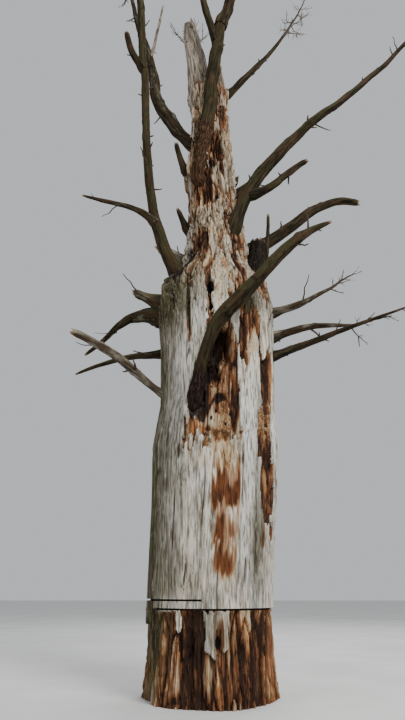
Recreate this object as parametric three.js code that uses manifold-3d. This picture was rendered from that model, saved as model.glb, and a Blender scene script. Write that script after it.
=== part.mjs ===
// A standing dead tree, in millimetres, +Z up.
// Its origin is the middle of the flat cut at ground level, under a trunk that is fixed in the ground.
// A bearing is an angle seen from above in degrees: 0 is +X, 90 is +Y. A rise is an angle above level.

import * as THREE from "three";
import { mergeVertices } from "three/addons/utils/BufferGeometryUtils.js";
import Module from "manifold-3d";

const wasm = await Module();
wasm.setup();

// Gap between two pieces that touch, and how close two points are when they count as one
const GAP = 0.3;
const SAME_POINT = 0.001;

// A direction whose rise has a sine above this counts as upright
const UPRIGHT = 0.9;

// Trunk: height, centre, half width along X and half depth along Y
const TRUNK_STATIONS = [
  { height: 0, x: 0, y: 0, wide: 672, deep: 676 },
  { height: 300, x: 0, y: 0, wide: 650, deep: 652 },
  { height: 900, x: 0, y: 0, wide: 642, deep: 640 },
  { height: 1700, x: 42, y: 0, wide: 670, deep: 650 },
  { height: 2400, x: 70, y: 10, wide: 698, deep: 660 },
  { height: 2900, x: 95, y: 20, wide: 645, deep: 645 },
  { height: 3600, x: 100, y: 20, wide: 664, deep: 640 },
  { height: 4200, x: 95, y: 30, wide: 702, deep: 610 },
  { height: 4500, x: 80, y: 35, wide: 670, deep: 560 },
  { height: 4640, x: 90, y: 40, wide: 510, deep: 500 },
  { height: 4780, x: 98, y: 45, wide: 420, deep: 455 },
  { height: 5200, x: 98, y: 50, wide: 396, deep: 420 },
  { height: 5700, x: 70, y: 50, wide: 345, deep: 360 },
  { height: 6300, x: 22, y: 40, wide: 342, deep: 320 },
  { height: 7000, x: 30, y: 30, wide: 272, deep: 265 },
  { height: 7700, x: 35, y: 20, wide: 262, deep: 240 },
  { height: 8000, x: 30, y: 20, wide: 250, deep: 220 },
];
const TRUNK_SIDES = 36;
const RING_SPACING = 210;
const TRUNK_BREAK = 7900;
const BREAK_SLANT = 60;
const ROOT_FLARE = 26;
const ROOT_FLARE_HEIGHT = 260;
const ROOTS = 6;
const FIRST_ROOT = 0.6;
const FLUTE = 14;
const BROAD_FLUTES = { count: 3, waver: 900 };
const FINE_FLUTES = { count: 7, waver: 1400 };

// The tall splinter that is left of the trunk's own top
const SPIRE = {
  foot: new THREE.Vector3(-20, 20, 7350),
  tip: new THREE.Vector3(-300, 20, 9400),
  radii: [200, 185, 160, 142, 126, 22],
  flat: 0.55,
  sides: 7,
};
const SPLINTERS = {
  count: 7, from: -75, to: 135, shortest: 160, longest: 430, girth: 62, tip: 8, sides: 4, seed: 5,
};

// Rotted hollows: centre on the trunk's skin by height and bearing, then half width, half height, depth
const HOLLOWS = [
  { height: 3430, bearing: -86, wide: 150, tall: 280, deep: 250 },
  { height: 2870, bearing: -111, wide: 80, tall: 200, deep: 110 },
  { height: 2960, bearing: -90, wide: 85, tall: 110, deep: 90 },
  { height: 4210, bearing: -97, wide: 52, tall: 86, deep: 90 },
  { height: 3970, bearing: -97, wide: 34, tall: 60, deep: 70 },
  { height: 4860, bearing: -152, wide: 75, tall: 110, deep: 100 },
  { height: 6430, bearing: -80, wide: 95, tall: 330, deep: 110 },
  { height: 2420, bearing: -86, wide: 70, tall: 55, deep: 60 },
];
const HOLLOW_SIDES = 8;
const HOLLOW_RINGS = 5;

// Rotten places that have lost their sound outer wood: middle, half width along the skin, half height, depth
const ROTTEN = [
  { bearing: -90, height: 2520, wide: 300, tall: 180, deep: 36 },
  { bearing: -88, height: 3100, wide: 180, tall: 620, deep: 38 },
  { bearing: -56, height: 3700, wide: 130, tall: 300, deep: 34 },
  { bearing: -33, height: 3080, wide: 110, tall: 420, deep: 36 },
  { bearing: -42, height: 2480, wide: 95, tall: 300, deep: 34 },
  { bearing: -34, height: 1930, wide: 130, tall: 340, deep: 40 },
  { bearing: -119, height: 4950, wide: 120, tall: 190, deep: 32 },
  { bearing: -115, height: 5820, wide: 140, tall: 300, deep: 46 },
];

// Where a rotten place's slope begins and ends, as shares of its half size
const ROT_EDGE = { inner: 0.8, outer: 1.2 };

// The same on the sides away from the front, spread from the foot to the top
const BACK_ROT = {
  count: 18, from: 0, to: 188, lowest: 1000, highest: 7400,
  wide: [75, 150], stretch: [1.6, 3.6], deep: 38, seed: 9,
};

// The outer wood that is gone below the saw cuts, all round but for the stretch that they leave uncut
const UNDERCUT = { top: 784, step: 44, deep: 30, uncutMiddle: 80, uncutHalf: 36, uncutEdge: 12 };

// The two saw cuts that ring the trunk
const SAW_CUTS = [
  { height: 870, from: 118, to: 262 },
  { height: 792, from: 212, to: 402 },
];
const SAW_CUT_WIDTH = 16;
const SAW_CUT_DEPTH = 34;
const SAW_CUT_REACH = 900;
const SAW_CUT_STEPS = 10;

// Limbs: where each is seated, how long it is, and its bearings, rises and radii at even steps
const LIMB_STEPS = 14;
const LONG_LIMB = 2600;
const LIMB_SIDES = 6;
const LIMBS = {
  left_leader: {
    on: "trunk", height: 4460, side: 190, sunk: 0.52, length: 7700,
    bearings: [191, 193, 184, 177, 170], rises: [54, 82, 86, 85, 86, 82, 78],
    radii: [104, 70, 58, 60, 60, 47, 30],
  },
  left_leader_stub: {
    on: "left_leader", along: 0.487, length: 750,
    bearings: [199, 200], rises: [55, 77], radii: [58, 50, 44],
  },
  left_side_limb: {
    on: "left_leader", along: 0.133, length: 1080,
    bearings: [184, 190], rises: [51, 10, 11], radii: [64, 42, 32, 16],
  },
  back_left_bough: {
    on: "trunk", height: 6850, side: 150, sunk: 0.5, length: 4330,
    bearings: [150, 149, 155], rises: [47, 65, 80, 74, 78], radii: [95, 104, 84, 60, 38],
  },
  pale_back_twig: {
    on: "back_left_bough", along: 0.6, length: 1450,
    bearings: [0, 20], rises: [79, 86], radii: [34, 26, 14],
  },
  left_spur: {
    on: "trunk", height: 6030, side: 190, sunk: 0.6, length: 870,
    bearings: [190, 190], rises: [58, 81], radii: [66, 50, 34],
  },
  torn_stub: {
    on: "trunk", height: 4880, side: 160, sunk: 0.7, length: 620,
    bearings: [176, 180], rises: [34, 36], radii: [88, 84, 58],
  },
  left_dark_stub: {
    on: "trunk", height: 5120, side: 188, sunk: 0.6, length: 640,
    bearings: [190, 190], rises: [60, 66], radii: [62, 50, 30],
  },
  left_mossy_stub: {
    on: "trunk", height: 4270, side: 178, sunk: 0.8, length: 560,
    bearings: [178, 170], rises: [17, 33], radii: [115, 78, 44],
  },
  left_bent_bough: {
    on: "trunk", height: 4080, side: 175, sunk: 0.8, length: 1640,
    bearings: [160, 136, 143], rises: [25, 9, -23, -17], radii: [128, 100, 52, 38, 24],
  },
  left_bent_twin: {
    on: "left_bent_bough", along: 0.36, length: 520,
    bearings: [170, 165], rises: [-28, -36], radii: [32, 22, 12],
  },
  left_low_bough: {
    on: "trunk", height: 3620, side: 175, sunk: 0.8, length: 1410,
    bearings: [165, 150], rises: [4, -2, -11], radii: [56, 44, 32, 16],
  },
  left_broken_log: {
    on: "trunk", height: 2960, side: 195, sunk: 0.85, length: 1360,
    bearings: [205, 205], rises: [34, 33, 12], radii: [38, 50, 54, 46],
  },
  front_bough: {
    on: "trunk", height: 2760, side: -113, sunk: 0.95, foot: 130, length: 2840,
    bearings: [-84, -21, -1, 0, 6], rises: [76, 71, 48, 50, 43, 26],
    radii: [72, 64, 74, 86, 71, 66, 20],
  },
  front_bough_spur: {
    on: "front_bough", along: 0.655, length: 740,
    bearings: [-30, 0], rises: [82, 87], radii: [34, 25, 20],
  },
  right_stump: {
    on: "trunk", height: 4620, side: 0, sunk: 0.94, length: 640,
    bearings: [5, 5], rises: [84, 88], radii: [140, 136, 118],
  },
  right_high_bough: {
    on: "trunk", height: 5080, side: 5, sunk: 0.82, length: 2280,
    bearings: [10, 15, 21], rises: [24, 39, 43, 34, 1], radii: [96, 84, 78, 58, 50],
  },
  right_rising_bough: {
    on: "trunk", height: 5110, side: -60, sunk: 0.85, length: 4600,
    bearings: [-20, 1, 3], rises: [71, 52, 41, 48, 55], radii: [92, 86, 64, 48, 36, 22],
  },
  right_rising_fork: {
    on: "right_rising_bough", along: 0.13, length: 1060,
    bearings: [0, 10], rises: [15, 50, 36], radii: [72, 52, 46, 38],
  },
  right_upper_fork: {
    on: "trunk", height: 5930, side: 0, sunk: 0.8, length: 740,
    bearings: [0, 0], rises: [39, 49], radii: [60, 40, 32],
  },
  flaky_stub: {
    on: "trunk", height: 6120, side: 8, sunk: 0.8, length: 270,
    bearings: [5, 5], rises: [58, 66], radii: [62, 44, 16],
  },
  right_mid_bough: {
    on: "trunk", height: 4100, side: 0, sunk: 0.8, length: 1050,
    bearings: [10, 20], rises: [20, 30, 34], radii: [68, 54, 38, 24],
  },
  right_twin_upper: {
    on: "trunk", height: 3720, side: -5, sunk: 0.8, length: 1030,
    bearings: [-5, 5], rises: [25, 14, 1], radii: [66, 52, 40, 24],
  },
  right_twin_lower: {
    on: "trunk", height: 3460, side: -15, sunk: 0.8, length: 1750,
    bearings: [-10, 5], rises: [18, 20, 23], radii: [62, 47, 35, 25, 16],
  },
  upper_right_bough: {
    on: "trunk", height: 7680, side: 0, sunk: 0.5, length: 1900,
    bearings: [0, 10, 20], rises: [46, 56, 64], radii: [62, 50, 36, 24],
  },
  crown_bough: {
    on: "trunk", height: 6050, side: -122, sunk: 0.9, foot: 180, length: 2750,
    bearings: [-35, -20, -10], rises: [82, 83, 84], radii: [84, 94, 98, 94, 90],
  },
  crown_fork_right: {
    on: "crown_bough", along: 1, length: 3100,
    bearings: [0, 20, 40], rises: [74, 78, 72], radii: [88, 74, 54, 28],
  },
  crown_fork_left: {
    on: "crown_bough", along: 0.88, length: 2700,
    bearings: [182, 200, 215], rises: [72, 87, 82], radii: [66, 54, 40, 24],
  },
  back_top_bough: {
    on: "trunk", height: 7150, side: 100, sunk: 0.6, length: 3300,
    bearings: [100, 112, 95], rises: [58, 72, 76], radii: [84, 66, 48, 28],
  },
  back_high_bough: {
    on: "trunk", height: 5750, side: 70, sunk: 0.7, length: 2300,
    bearings: [75, 90, 100], rises: [50, 30, 42], radii: [70, 54, 38, 24],
  },
  back_mid_bough: {
    on: "trunk", height: 4500, side: 105, sunk: 0.8, length: 2400,
    bearings: [100, 85, 80], rises: [40, 22, 17], radii: [84, 62, 44, 26],
  },
  back_low_bough: {
    on: "trunk", height: 3350, side: 82, sunk: 0.8, length: 1750,
    bearings: [85, 95, 90], rises: [25, 10, 2], radii: [64, 50, 36, 22],
  },
};

// Masses of bare twigs: the limb whose tip each grows from, the length of its stem, and its seed
const MASSES = {
  left_leader_twigs: { on: "left_leader", stem: 1250, seed: 11 },
  back_left_twigs: { on: "back_left_bough", stem: 1300, seed: 12 },
  crown_left_twigs: { on: "crown_fork_left", stem: 1050, seed: 13 },
  crown_right_twigs: { on: "crown_fork_right", stem: 1200, seed: 14 },
  upper_right_twigs: { on: "upper_right_bough", stem: 1000, seed: 15 },
  right_rising_twigs: { on: "right_rising_bough", stem: 950, seed: 16 },
  right_mid_twigs: { on: "right_mid_bough", stem: 560, seed: 17 },
  right_twin_upper_twigs: { on: "right_twin_upper", stem: 620, seed: 18 },
  right_twin_lower_twigs: { on: "right_twin_lower", stem: 560, seed: 19 },
  back_top_twigs: { on: "back_top_bough", stem: 1150, seed: 20 },
  back_high_twigs: { on: "back_high_bough", stem: 1050, seed: 21 },
  back_mid_twigs: { on: "back_mid_bough", stem: 1050, seed: 22 },
  back_low_twigs: { on: "back_low_bough", stem: 850, seed: 23 },
};
const STEM_STEPS = 4;
const STEM_SIDES = 5;
const STEM_TIP_SHARE = 0.3;
const STEM_WANDER = 22;
const TWIG_SIDES = 3;
const TWIG_SPACING = 165;
const TWIG_FIRST = 0.16;
const TWIG_LAST = 0.94;
const TWIG_LEAN = [34, 58];
const TWIG_SHARE = [0.42, 0.62];
const TWIG_GIRTH = 0.6;
const TWIG_TAPER = 0.55;
const TWIG_TURN = 137.5;
const TWIG_TURN_SPREAD = 40;
const TWIG_LIFT = 0.22;
const SPRIG_SHARE = 0.5;
const FORKED_TWIG = 330;
const SPACE_SHARE = 0.8;
const SPACE_MIDDLE = 0.55;
const LIMB_CLEARANCE = 25;
const THINNEST = 4;

// Colours of the weathered trunk, the darker boughs and the grey twigs
const WOOD = new THREE.MeshStandardMaterial({ color: 0x9c8f80, roughness: 0.95, metalness: 0 });
const BARK = new THREE.MeshStandardMaterial({ color: 0x5a4839, roughness: 0.95, metalness: 0 });
const TWIG = new THREE.MeshStandardMaterial({ color: 0x6d5f50, roughness: 0.95, metalness: 0 });

// A value read off a short list whose entries stand at even steps from 0 to 1
function along(list, t) {
  const place = t * (list.length - 1);
  const first = Math.min(Math.floor(place), list.length - 2);
  return THREE.MathUtils.lerp(list[first], list[first + 1], place - first);
}

function heading(bearing, rise) {
  const b = THREE.MathUtils.degToRad(bearing);
  const e = THREE.MathUtils.degToRad(rise);
  return new THREE.Vector3(Math.cos(b) * Math.cos(e), Math.sin(b) * Math.cos(e), Math.sin(e));
}

// Numbers from 0 to 1 that are the same on every run
function seeded(seed) {
  let state = seed;
  return () => {
    state = (state * 1664525 + 1013904223) % 4294967296;
    return state / 4294967296;
  };
}

// A closed three.js geometry as a solid, and a solid back as a geometry
function solidOf(geometry) {
  geometry.deleteAttribute("normal");
  geometry.deleteAttribute("uv");
  const merged = mergeVertices(geometry, SAME_POINT);
  return new wasm.Manifold(new wasm.Mesh({
    numProp: 3,
    vertProperties: Float32Array.from(merged.attributes.position.array),
    triVerts: Uint32Array.from(merged.index.array),
  }));
}

function geometryOf(solid) {
  const mesh = solid.getMesh();
  const geometry = new THREE.BufferGeometry();
  geometry.setAttribute("position", new THREE.BufferAttribute(mesh.vertProperties, 3));
  geometry.setIndex(new THREE.BufferAttribute(mesh.triVerts, 1));
  geometry.computeVertexNormals();
  return geometry;
}

function largestPiece(solid) {
  const pieces = solid.decompose();
  return pieces.reduce((best, piece) => (piece.volume() > best.volume() ? piece : best));
}

// Trunk
function trunkAt(height) {
  const above = TRUNK_STATIONS.findIndex((station) => station.height >= height);
  const hi = TRUNK_STATIONS[Math.max(1, above)];
  const lo = TRUNK_STATIONS[Math.max(1, above) - 1];
  const t = THREE.MathUtils.clamp((height - lo.height) / (hi.height - lo.height), 0, 1);
  return {
    x: THREE.MathUtils.lerp(lo.x, hi.x, t),
    y: THREE.MathUtils.lerp(lo.y, hi.y, t),
    wide: THREE.MathUtils.lerp(lo.wide, hi.wide, t),
    deep: THREE.MathUtils.lerp(lo.deep, hi.deep, t),
  };
}

function turnFrom(bearing, angle) {
  const turn = THREE.MathUtils.radToDeg(angle) - bearing;
  return THREE.MathUtils.euclideanModulo(turn + 180, 360) - 180;
}

function rottenPlaces() {
  const random = seeded(BACK_ROT.seed);
  const places = [...ROTTEN];
  for (let i = 0; i < BACK_ROT.count; i += 1) {
    const bearing = THREE.MathUtils.lerp(BACK_ROT.from, BACK_ROT.to, random());
    const height = THREE.MathUtils.lerp(BACK_ROT.lowest, BACK_ROT.highest, (i + random()) / BACK_ROT.count);
    const wide = THREE.MathUtils.lerp(BACK_ROT.wide[0], BACK_ROT.wide[1], random());
    const tall = wide * THREE.MathUtils.lerp(BACK_ROT.stretch[0], BACK_ROT.stretch[1], random());
    places.push({ bearing, height, wide, tall, deep: BACK_ROT.deep });
  }
  return places;
}

// How deep the outer wood has gone at one point of the skin
function rotDepth(angle, height) {
  const at = trunkAt(height);
  const girth = (at.wide + at.deep) / 2;
  const below = 1 - THREE.MathUtils.smoothstep(height, UNDERCUT.top - UNDERCUT.step, UNDERCUT.top);
  const fromUncut = Math.abs(turnFrom(UNDERCUT.uncutMiddle, angle)) - UNDERCUT.uncutHalf;
  let depth = UNDERCUT.deep * below * THREE.MathUtils.smoothstep(fromUncut, 0, UNDERCUT.uncutEdge);
  for (const spot of ROTTEN_PLACES) {
    const across = THREE.MathUtils.degToRad(turnFrom(spot.bearing, angle)) * girth;
    const reach = Math.hypot(across / spot.wide, (height - spot.height) / spot.tall);
    depth = Math.max(depth, spot.deep * (1 - THREE.MathUtils.smoothstep(reach, ROT_EDGE.inner, ROT_EDGE.outer)));
  }
  return depth;
}

// The point on the trunk's skin in one direction, pushed out by a margin, with flutes and low roots
function trunkSkin(angle, height, margin) {
  const at = trunkAt(height);
  const fade = Math.exp(-height / ROOT_FLARE_HEIGHT);
  const roots = ROOT_FLARE * fade * Math.cos(ROOTS * angle + FIRST_ROOT);
  const broad = Math.sin(BROAD_FLUTES.count * angle) * Math.cos(height / BROAD_FLUTES.waver);
  const fine = Math.sin(FINE_FLUTES.count * angle) * Math.cos(height / FINE_FLUTES.waver);
  const out = roots + FLUTE * (broad + fine) + margin - rotDepth(angle, height);
  return new THREE.Vector3(
    at.x + Math.cos(angle) * (at.wide + out),
    at.y + Math.sin(angle) * (at.deep + out),
    height,
  );
}

// Ring heights: every station, with the long stretches between split evenly, and the step below the saw cuts
function ringHeights() {
  const heights = [0];
  for (const station of TRUNK_STATIONS.slice(1)) {
    const from = heights[heights.length - 1];
    const parts = Math.ceil((station.height - from) / RING_SPACING);
    for (let i = 1; i <= parts; i += 1) {
      heights.push(THREE.MathUtils.lerp(from, station.height, i / parts));
    }
  }
  heights.push(UNDERCUT.top - UNDERCUT.step, UNDERCUT.top);
  const last = Math.max(...heights);
  return heights.sort((a, b) => a - b).filter((h) => h < TRUNK_BREAK - 2 * BREAK_SLANT || h === last);
}

function trunkBody(margin) {
  const heights = ringHeights();
  const rings = heights.length - 1;
  const geometry = new THREE.CylinderGeometry(1, 1, 1, TRUNK_SIDES, rings);
  const position = geometry.attributes.position;
  for (let i = 0; i < position.count; i += 1) {
    const angle = Math.atan2(-position.getZ(i), position.getX(i));
    const ring = Math.round((position.getY(i) + 0.5) * rings);
    const isTop = ring === rings;
    const height = isTop ? TRUNK_BREAK - BREAK_SLANT * Math.cos(angle) + margin : heights[ring];
    const isMiddle = Math.hypot(position.getX(i), position.getZ(i)) < 0.5;
    const at = trunkAt(height);
    const point = isMiddle ? new THREE.Vector3(at.x, at.y, height) : trunkSkin(angle, height, margin);
    position.setXYZ(i, point.x, point.y, point.z);
  }
  return solidOf(geometry);
}

// Bends a cylinder so that its axis follows a path and its girth follows a list of radii
function bentTube(path, radii, sides, flat = 1) {
  const steps = path.length - 1;
  const geometry = new THREE.CylinderGeometry(1, 1, 1, sides, steps);
  const position = geometry.attributes.position;
  const rings = ringsAlong(path);
  for (let i = 0; i < position.count; i += 1) {
    const t = position.getY(i) + 0.5;
    const ring = rings[Math.round(t * steps)];
    const radius = along(radii, t);
    const point = ring.centre.clone();
    point.addScaledVector(ring.across, position.getX(i) * radius);
    point.addScaledVector(ring.other, position.getZ(i) * radius * flat);
    position.setXYZ(i, point.x, point.y, point.z);
  }
  return solidOf(geometry);
}

// The crossways directions at each point of a path, turned as little as possible from point to point
function ringsAlong(path) {
  let across = null;
  return path.map((centre, i) => {
    const before = path[Math.max(0, i - 1)];
    const after = path[Math.min(path.length - 1, i + 1)];
    const forward = after.clone().sub(before).normalize();
    if (across === null) {
      const upright = Math.abs(forward.z) > UPRIGHT;
      across = upright ? new THREE.Vector3(1, 0, 0) : new THREE.Vector3(0, 0, 1).cross(forward);
    }
    across = across.clone().addScaledVector(forward, -across.dot(forward)).normalize();
    return { centre, across, other: across.clone().cross(forward) };
  });
}

function spire(margin) {
  const path = SPIRE.radii.map((_, i) => SPIRE.foot.clone().lerp(SPIRE.tip, i / (SPIRE.radii.length - 1)));
  const radii = SPIRE.radii.map((radius) => radius + margin);
  return bentTube(path, radii, SPIRE.sides, SPIRE.flat);
}

// Broken slivers that stand round the rim of the trunk's top
function splinters(margin) {
  const random = seeded(SPLINTERS.seed);
  const slivers = [];
  for (let i = 0; i < SPLINTERS.count; i += 1) {
    const bearing = THREE.MathUtils.lerp(SPLINTERS.from, SPLINTERS.to, i / (SPLINTERS.count - 1));
    const angle = THREE.MathUtils.degToRad(bearing);
    const length = THREE.MathUtils.lerp(SPLINTERS.shortest, SPLINTERS.longest, random());
    const foot = trunkSkin(angle, TRUNK_BREAK - BREAK_SLANT - SPLINTERS.longest, -SPLINTERS.girth);
    const rim = trunkSkin(angle, TRUNK_BREAK - BREAK_SLANT, -SPLINTERS.girth);
    const tip = rim.clone().add(new THREE.Vector3(0, 0, length + BREAK_SLANT));
    const radii = [SPLINTERS.girth + margin, SPLINTERS.girth + margin, SPLINTERS.tip + margin];
    slivers.push(bentTube([foot, rim, tip], radii, SPLINTERS.sides));
  }
  return slivers;
}

function hollowCutter(hollow, margin) {
  const angle = THREE.MathUtils.degToRad(hollow.bearing);
  const centre = trunkSkin(angle, hollow.height, 0);
  const geometry = new THREE.SphereGeometry(1, HOLLOW_SIDES, HOLLOW_RINGS);
  geometry.scale(hollow.deep - margin, hollow.wide - margin, hollow.tall - margin);
  geometry.rotateZ(angle);
  geometry.translate(centre.x, centre.y, centre.z);
  return solidOf(geometry);
}

// A flat slice over the cut's bearings, less the trunk's own core
function sawCutter(cut, core) {
  const outline = new THREE.Shape();
  outline.moveTo(0, 0);
  for (let i = 0; i <= SAW_CUT_STEPS; i += 1) {
    const angle = THREE.MathUtils.degToRad(THREE.MathUtils.lerp(cut.from, cut.to, i / SAW_CUT_STEPS));
    outline.lineTo(Math.cos(angle) * SAW_CUT_REACH, Math.sin(angle) * SAW_CUT_REACH);
  }
  const slice = new THREE.ExtrudeGeometry(outline, { depth: SAW_CUT_WIDTH, bevelEnabled: false });
  slice.translate(0, 0, cut.height - SAW_CUT_WIDTH / 2);
  return solidOf(slice).subtract(core);
}

function trunk(margin) {
  let body = trunkBody(margin).add(spire(margin));
  for (const sliver of splinters(margin)) {
    body = body.add(sliver);
  }
  for (const hollow of HOLLOWS) {
    body = body.subtract(hollowCutter(hollow, margin));
  }
  return body;
}

// Limbs
function seatOf(limb, paths) {
  if (limb.on === "trunk") {
    const at = trunkAt(limb.height);
    const out = heading(limb.side, 0).multiplyScalar(limb.sunk);
    return new THREE.Vector3(at.x + out.x * at.wide, at.y + out.y * at.deep, limb.height);
  }
  const path = paths[limb.on];
  const place = limb.along * (path.length - 1);
  const first = Math.min(Math.floor(place), path.length - 2);
  return path[first].clone().lerp(path[first + 1], place - first);
}

// A limb's path in LIMB_STEPS steps, of which a short limb keeps every second point
function limbPath(limb, paths) {
  const path = [seatOf(limb, paths)];
  for (let i = 0; i < LIMB_STEPS; i += 1) {
    const t = (i + 0.5) / LIMB_STEPS;
    const step = heading(along(limb.bearings, t), along(limb.rises, t));
    path.push(path[i].clone().addScaledVector(step, limb.length / LIMB_STEPS));
  }
  const stride = limb.length > LONG_LIMB ? 1 : 2;
  const kept = path.filter((_, i) => i % stride === 0);
  if (limb.foot !== undefined) {
    const inwards = heading(limb.side, 0).multiplyScalar(-limb.foot);
    kept.unshift(kept[0].clone().add(inwards).add(new THREE.Vector3(0, 0, -limb.foot)));
  }
  return kept;
}

function limbTube(limb, path, margin) {
  const ends = path.map((point) => point.clone());
  const last = ends.length - 1;
  ends[0].addScaledVector(path[1].clone().sub(path[0]).normalize(), -margin);
  ends[last].addScaledVector(path[last].clone().sub(path[last - 1]).normalize(), margin);
  const radii = limb.radii.map((radius) => radius + margin);
  return bentTube(ends, radii, LIMB_SIDES);
}

function boxesMeet(one, other) {
  const a = one.boundingBox();
  const b = other.boundingBox();
  return [0, 1, 2].every((k) => a.min[k] < b.max[k] && b.min[k] < a.max[k]);
}

// Masses of twigs
function nearLimb(point, radius, limbRadii, paths) {
  const at = trunkAt(point.z);
  const reach = Math.hypot((point.x - at.x) / at.wide, (point.y - at.y) / at.deep);
  if (point.z < TRUNK_BREAK && (reach - 1) * at.wide < LIMB_CLEARANCE + radius) {
    return true;
  }
  const nearest = new THREE.Vector3();
  return Object.entries(paths).some(([name, path]) => path.slice(1).some((end, i) => {
    const girth = along(limbRadii[name], i / (path.length - 1));
    new THREE.Line3(path[i], end).closestPointToPoint(point, true, nearest);
    return nearest.distanceTo(point) < girth + radius + LIMB_CLEARANCE;
  }));
}

// One twig's path: it leans away from the wood it grows on, then lifts towards the sky
function twigPath(start, forward, lean, turn, length) {
  const upright = Math.abs(forward.z) > UPRIGHT;
  const across = upright ? new THREE.Vector3(1, 0, 0) : new THREE.Vector3(0, 0, 1);
  across.cross(forward).normalize();
  across.applyAxisAngle(forward, THREE.MathUtils.degToRad(turn));
  const way = forward.clone().applyAxisAngle(across, THREE.MathUtils.degToRad(lean));
  const middle = start.clone().addScaledVector(way, length / 2);
  way.z += TWIG_LIFT;
  way.normalize();
  return [start, middle, middle.clone().addScaledVector(way, length / 2)];
}

function stemPath(mass, paths, random) {
  const bough = paths[mass.on];
  const tip = bough[bough.length - 1];
  const forward = tip.clone().sub(bough[bough.length - 2]).normalize();
  const path = [tip.clone().addScaledVector(forward, GAP)];
  let bearing = THREE.MathUtils.radToDeg(Math.atan2(forward.y, forward.x));
  let rise = THREE.MathUtils.radToDeg(Math.asin(forward.z));
  for (let i = 0; i < STEM_STEPS; i += 1) {
    const way = i === 0 ? forward : heading(bearing, rise);
    path.push(path[i].clone().addScaledVector(way, mass.stem / STEM_STEPS));
    bearing += (random() - 0.5) * STEM_WANDER * 2;
    rise += (random() - 0.5) * STEM_WANDER;
  }
  return path;
}

// The twigs of one mass, each with its path and its radii
function twigsOf(mass, limbRadii, paths) {
  const random = seeded(mass.seed);
  const stem = stemPath(mass, paths, random);
  const girth = limbRadii[mass.on][limbRadii[mass.on].length - 1];
  const stemRadii = [girth, girth * STEM_TIP_SHARE];
  const middle = stem[0].clone().lerp(stem[STEM_STEPS], SPACE_MIDDLE);
  const space = mass.stem * SPACE_SHARE;
  const twigs = [{ path: stem, radii: stemRadii, sides: STEM_SIDES }];
  const count = Math.round(mass.stem / TWIG_SPACING);
  const grow = (start, forward, lean, turn, length, radius) => {
    const path = twigPath(start, forward, lean, turn, length);
    const radii = [radius, Math.max(THINNEST, radius * STEM_TIP_SHARE)];
    const fits = path[2].distanceTo(middle) < space;
    const free = !path.slice(1).some((point) => nearLimb(point, radius, limbRadii, paths));
    if (fits && free) {
      twigs.push({ path, radii, sides: TWIG_SIDES });
    }
    return { path, kept: fits && free };
  };
  for (let i = 0; i < count; i += 1) {
    const t = THREE.MathUtils.lerp(TWIG_FIRST, TWIG_LAST, i / (count - 1));
    const place = t * STEM_STEPS;
    const first = Math.min(Math.floor(place), STEM_STEPS - 1);
    const start = stem[first].clone().lerp(stem[first + 1], place - first);
    const forward = stem[first + 1].clone().sub(stem[first]).normalize();
    const lean = THREE.MathUtils.lerp(TWIG_LEAN[0], TWIG_LEAN[1], random());
    const turn = i * TWIG_TURN + random() * TWIG_TURN_SPREAD;
    const share = THREE.MathUtils.lerp(TWIG_SHARE[0], TWIG_SHARE[1], random()) * (1 - TWIG_TAPER * t);
    const length = mass.stem * share;
    const radius = Math.max(THINNEST + 1, along(stemRadii, t) * TWIG_GIRTH);
    const twig = grow(start, forward, lean, turn, length, radius);
    const sprigLean = THREE.MathUtils.lerp(TWIG_LEAN[0], TWIG_LEAN[1], random());
    const sprigTurn = random() * 360;
    if (twig.kept && length > FORKED_TWIG) {
      const [, root, end] = twig.path;
      const way = end.clone().sub(root).normalize();
      grow(root, way, sprigLean, sprigTurn, length * SPRIG_SHARE, radius * TWIG_GIRTH);
    }
  }
  return twigs;
}

// Assembly
const ROTTEN_PLACES = rottenPlaces();
const group = new THREE.Group();

function place(name, solid, material) {
  const mesh = new THREE.Mesh(geometryOf(solid), material);
  mesh.name = name;
  group.add(mesh);
}

const core = trunkBody(-SAW_CUT_DEPTH);
let trunkSolid = trunk(0);
for (const cut of SAW_CUTS) {
  trunkSolid = trunkSolid.subtract(sawCutter(cut, core));
}
place("trunk", largestPiece(trunkSolid), WOOD);

const paths = {};
const limbRadii = {};
const grown = [trunk(GAP)];
for (const [name, limb] of Object.entries(LIMBS)) {
  paths[name] = limbPath(limb, paths);
  limbRadii[name] = limb.radii;
  let body = limbTube(limb, paths[name], 0);
  for (const other of grown) {
    if (boxesMeet(body, other)) {
      body = body.subtract(other);
    }
  }
  place(name, largestPiece(body), BARK);
  grown.push(limbTube(limb, paths[name], GAP));
}

for (const [name, mass] of Object.entries(MASSES)) {
  const twigs = twigsOf(mass, limbRadii, paths);
  const tubes = twigs.map((twig) => bentTube(twig.path, twig.radii, twig.sides));
  const body = tubes.reduce((all, tube) => all.add(tube));
  place(name, largestPiece(body), TWIG);
}

export default group;
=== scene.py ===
# A standing dead tree in metres, +Z up and +Y away from the camera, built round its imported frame.
# A bearing is an angle seen from above in degrees: 0 is +X, 90 is +Y. A rise is an angle above level.
import math
from collections import namedtuple

import bmesh
import bpy
import numpy as np
from mathutils import Matrix, Vector


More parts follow.
